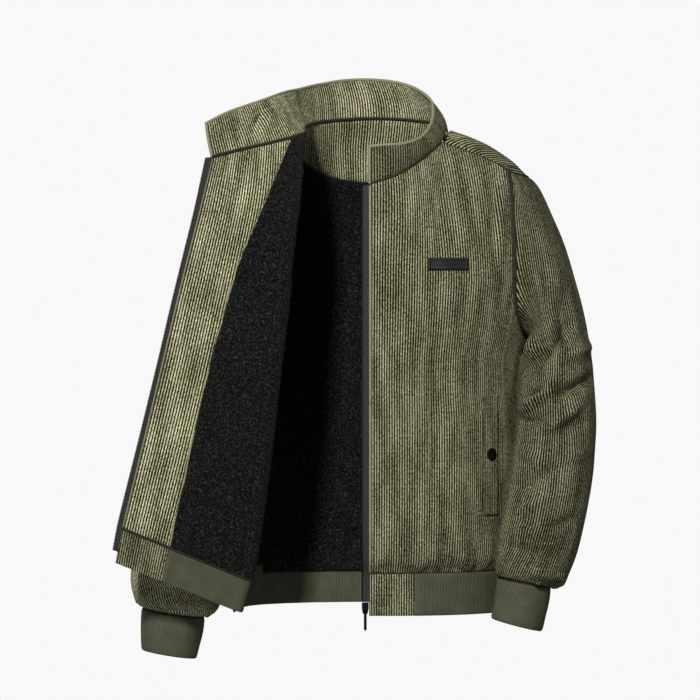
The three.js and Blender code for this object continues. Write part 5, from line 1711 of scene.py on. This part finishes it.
class JACKET_OT_hem(Operator):
    """Adds the rib waistband and its corduroy ends"""
    bl_idname = "jacket.hem"
    bl_label = "Waistband"

    def execute(self, context):
        kit = values()
        for name, low, high, count, pitch, finish in (
            ("hem_band", HEM_ENDS[0], HEM_ENDS[1], 420, 0, "rib_knit"),
            ("hem_end_left", 0, HEM_ENDS[0], 80, kit.pitch, "corduroy"),
            ("hem_end_right", HEM_ENDS[1], HEM_COLS, 80, kit.pitch, "corduroy"),
        ):
            cloth = hem_piece(name + "_cloth", low, high, count, pitch)
            waves = 0.7 * noise(cloth.points * [1, 1, 0.15], 14, 15)
            cloth.move(waves * smooth(cloth.border, 0, 8))
            far = doubled(cloth)
            if pitch:
                cloth.wales(kit.depth * 0.8, 0.4)
            cloth.sewn(finish, finish, name, back=far)
        return {"FINISHED"}


class JACKET_OT_facings(Operator):
    """Adds the corduroy facings inside both fronts and the back neck"""
    bl_idname = "jacket.facings"
    bl_label = "Facings"

    def execute(self, context):
        kit = values()
        # The facings take the lighter corduroy, whose colour is painted light
        pitch, depth = kit.pitch * NEAR_PITCH, INNER_DEPTH + FACING_WALL
        steps = np.linspace(0.05, TOP_ROW - 0.1, 300)
        inner, second, near, edge = (flap_facing(steps, np.full(300, col))
                                     for col in (0.0, FACING_COLS - 1, FACING_COLS - 0.5, FACING_COLS))
        stitch = beside(edge, second, STITCH_TO_EDGE)
        cloth = self.facing("facing_right", flap_facing, FACING_COLS, 4.6, pitch, depth)
        cloth.soft(0.9, 60, 20).folds(FLAP_FOLDS).groove([stitch], 1.6, 0.9)
        cloth.wales(kit.depth).sewn("corduroy_painted_light", "corduroy", "facing_right")
        stitched("facing_right_stitching", cloth, [stitch])
        out = unit(np.cross(unit(np.gradient(edge, axis=0)), near - edge))
        rolled_edge("front_right_edge", edge + unit(near - edge) * 1.0, out, 2.2)
        line, out = closest(cloth, inner)
        tube_along("facing_piping", line + out * 0.9, 1.25, "piping")

        cloth = self.facing("facing_left", left_front, 0, 8, pitch, depth).folds(FRONT_LEFT_FOLDS, 1, -1)
        cloth.wales(kit.depth).sewn("corduroy_painted_light", "corduroy", "facing_left")

        rows = row_values(back_middle, TOP_ROW - 3, TOP_ROW, BACK_COLS / 2, 5)
        across = run_of(even_columns(back_middle, np.array([TOP_ROW - 1.5]), (0, BACK_COLS, 60)))[0, -1]
        count = int(across / pitch) * WALE_STEPS
        points = even_columns(back_middle, rows, (0, BACK_COLS, count))
        cloth = Cloth("facing_back_neck_cloth", inside=True)
        cloth.add(points, np.arange(count + 1)[None] / WALE_STEPS, points[..., 2]).weld().move(depth)
        cloth.folds(BACK_FOLDS, -1, -1).wales(kit.depth)
        cloth.sewn("corduroy_painted_light", "corduroy", "facing_back_neck")
        return {"FINISHED"}

    def facing(self, name, part, edge_col, step, pitch, depth):
        """A front's facing, whose wales follow the zip edge on one of its columns."""
        rows = row_values(part, 0, TOP_ROW, edge_col, step)
        points, u = edge_columns(part, rows, (0, FACING_COLS), pitch, edge_col == 0)
        return Cloth(name + "_cloth", inside=True).add(points, u, points[..., 2]).weld().move(depth)


# How far below the hem seam's row the back lining starts, so that it reaches under the waistband
LINING_OVERLAP = -0.34
WHOLE, LOWER = (0, TOP_ROW), (0, LOWER_ROWS)
# Linings: parts as (function, columns, rows), spacing of the mesh, and the folds that they share with their side
LININGS = {
    "lining_left": ([(left_front, (FACING_COLS, FACING_COLS + CHEST_COLS), WHOLE),
                     (left_front_side, (0, SIDE_COLS), LOWER)], 5.0, FRONT_LEFT_FOLDS, 1),
    "lining_right": ([(right_side, (0, SIDE_COLS), LOWER), (part_a, (0, CHEST_COLS), WHOLE),
                      (roll_point, (0, ROLL_COLS), WHOLE), (flap_lining, (0, FLAP_COLS), WHOLE)], 3.2, (), 1),
    "lining_back": ([(back_side_left, (0, SIDE_COLS), LOWER),
                     (back_middle, (0, BACK_COLS), (LINING_OVERLAP, TOP_ROW - 3)),
                     (back_side_right, (0, SIDE_COLS), LOWER)], 3.2, BACK_FOLDS, -1),
}


class JACKET_OT_linings(Operator):
    """Adds the sherpa linings of both fronts and the back"""
    bl_idname = "jacket.linings"
    bl_label = "Linings"

    def execute(self, context):
        values()
        for name, (parts, spacing, creases, side) in LININGS.items():
            cloth = lining_cloth(name + "_pile", parts, spacing).folds(creases, side, -1)
            pile(cloth, INNER_DEPTH + LINING_WALL).sewn("sherpa", "sherpa", name, thickness=2.0)
        return {"FINISHED"}


class JACKET_OT_zip(Operator):
    """Adds both zip tapes with their teeth"""
    bl_idname = "jacket.zip"
    bl_label = "Zip"

    def execute(self, context):
        for right in (False, True):
            zip_tape(right)
        return {"FINISHED"}


SHOULDER_UP = np.array([0, -0.3, 0.95])


class JACKET_OT_seams(Operator):
    """Adds dark cords that fill the seams from inside: painted shade in the seams' hollows"""
    bl_idname = "jacket.seams"
    bl_label = "Painted seam shade"

    def execute(self, context):
        ring, share = np.linspace(0, ARMHOLE_STEPS, 220), np.linspace(0, 1, 50)
        hem = hem_seam(np.linspace(0, HEM_COLS, 560))
        hem_out = unit(np.cross(np.gradient(hem, axis=0), [0.0, 0.0, 1.0]))
        seams = [("hem_seam_painted_shade", hem, hem_out, 2.6, 2.0),
                 ("shoulder_left_seam", shoulder_seam(share), SHOULDER_UP, 2.9, 2.3),
                 ("shoulder_right_seam", right_seam(share), SHOULDER_UP, 2.9, 2.3)]
        for name, hole, table, cuff_table, side, *_ in SLEEVES:
            top, wrist = hole(ring), cuff(hole, table, cuff_table, side, np.zeros(220), ring)
            seams += [(f"armhole_{name}_seam", top, ring_out(top), 3.6, 3.4),
                      (f"cuff_{name}_seam", wrist, ring_out(wrist), 3.2, 2.4)]
        for name, line, out, depth, radius in seams:
            tube_along(name, line - out * depth, radius, "seam_shade")
        return {"FINISHED"}


# The stage, in metres
FLOOR_LEVEL = -0.74
FLOOR_SIZE = 20
DOME_RADIUS = 30
KEY_PLACE = (-1.12, -3.95, 2.15)
KEY_SIZE = 0.42
KEY_TINT = (1.0, 0.985, 0.96)
KEY_AIM = (0.0, 0.0, -0.3)
CAMERA_PLACE = (-0.035, -4.4, -0.29)
CAMERA_LENS = 167.6
SENSOR_WIDTH = 36


class JACKET_OT_stage(Operator):
    """Sets the floor, backdrop, lights and camera"""
    bl_idname = "jacket.stage"
    bl_label = "Stage"

    def execute(self, context):
        scene, settings = context.scene, context.scene.jacket_settings
        scene.view_settings.view_transform = "Standard"
        world = scene.world = bpy.data.worlds.new("studio")
        world.use_nodes = True
        background = next(n for n in world.node_tree.nodes if n.type == "BACKGROUND")
        background.inputs["Color"].default_value = linear("#f4f6fa")
        background.inputs["Strength"].default_value = settings.fill_strength
        self.paper(settings.backdrop)
        lamp = bpy.data.lights.new("key", "AREA")
        lamp.size, lamp.energy, lamp.color = KEY_SIZE, settings.key_watts, KEY_TINT
        turn = (Vector(KEY_AIM) - Vector(KEY_PLACE)).to_track_quat("-Z", "Y").to_euler()
        self.place(lamp, KEY_PLACE, turn)
        camera = bpy.data.cameras.new("camera")
        camera.lens, camera.sensor_width, camera.clip_end = CAMERA_LENS, SENSOR_WIDTH, 100
        scene.camera = self.place(camera, CAMERA_PLACE, (math.pi / 2, 0, 0))
        return {"FINISHED"}

    def paper(self, brightness):
        """A floor and a dome of white paper, which light the picture's background and not the jacket."""
        paper, tree, _ = material("white paper", Roughness=1.0)
        glow = add(tree, "ShaderNodeEmission", [("Color", (1, 1, 1, 1)), ("Strength", brightness)])
        end = next(n for n in tree.nodes if n.type == "OUTPUT_MATERIAL")
        tree.links.new(glow.outputs[0], end.inputs["Surface"])
        for obj in bpy.context.selected_objects:
            obj.select_set(False)
        bpy.ops.mesh.primitive_uv_sphere_add(radius=DOME_RADIUS, segments=48, ring_count=24,
                                             location=(0, 0, 0))
        dome = bpy.context.object
        dome.name = "backdrop"
        bpy.ops.mesh.primitive_plane_add(size=FLOOR_SIZE, location=(0, 0, FLOOR_LEVEL))
        floor = bpy.context.object
        floor.name = "floor"
        for obj in (dome, floor):
            obj.data.materials.append(paper)
            obj.visible_diffuse = obj.visible_glossy = obj.visible_shadow = obj.visible_transmission = False

    def place(self, data, where, turn):
        """Puts a light or camera in the scene."""
        holder = bpy.data.objects.new(data.name, data)
        holder.location, holder.rotation_euler = where, turn
        bpy.context.scene.collection.objects.link(holder)
        return holder


STEPS = (JACKET_OT_materials, JACKET_OT_front_left, JACKET_OT_back, JACKET_OT_front_right, JACKET_OT_sleeves,
         JACKET_OT_collar, JACKET_OT_hem, JACKET_OT_facings, JACKET_OT_linings, JACKET_OT_zip, JACKET_OT_seams,
         JACKET_OT_stage)


class JACKET_PT_panel(Panel):
    """Builds the jacket step by step"""
    bl_idname = "JACKET_PT_panel"
    bl_label = "Corduroy jacket"
    bl_space_type = "VIEW_3D"
    bl_region_type = "UI"
    bl_category = "Jacket"

    def draw(self, context):
        for name in JacketSettings.__annotations__:
            self.layout.prop(context.scene.jacket_settings, name)
        for step in STEPS:
            self.layout.operator(step.bl_idname)


CLASSES = (JacketSettings, *STEPS, JACKET_PT_panel)


def register():
    for cls in CLASSES:
        bpy.utils.register_class(cls)
    bpy.types.Scene.jacket_settings = PointerProperty(type=JacketSettings)


def unregister():
    del bpy.types.Scene.jacket_settings
    for cls in reversed(CLASSES):
        bpy.utils.unregister_class(cls)


def main():
    register()
    for step in STEPS:
        group, name = step.bl_idname.split(".")
        if getattr(getattr(bpy.ops, group), name)() != {"FINISHED"}:
            raise RuntimeError(f"{step.bl_label} didn't finish")
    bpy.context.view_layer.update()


if __name__ == "__main__":
    main()
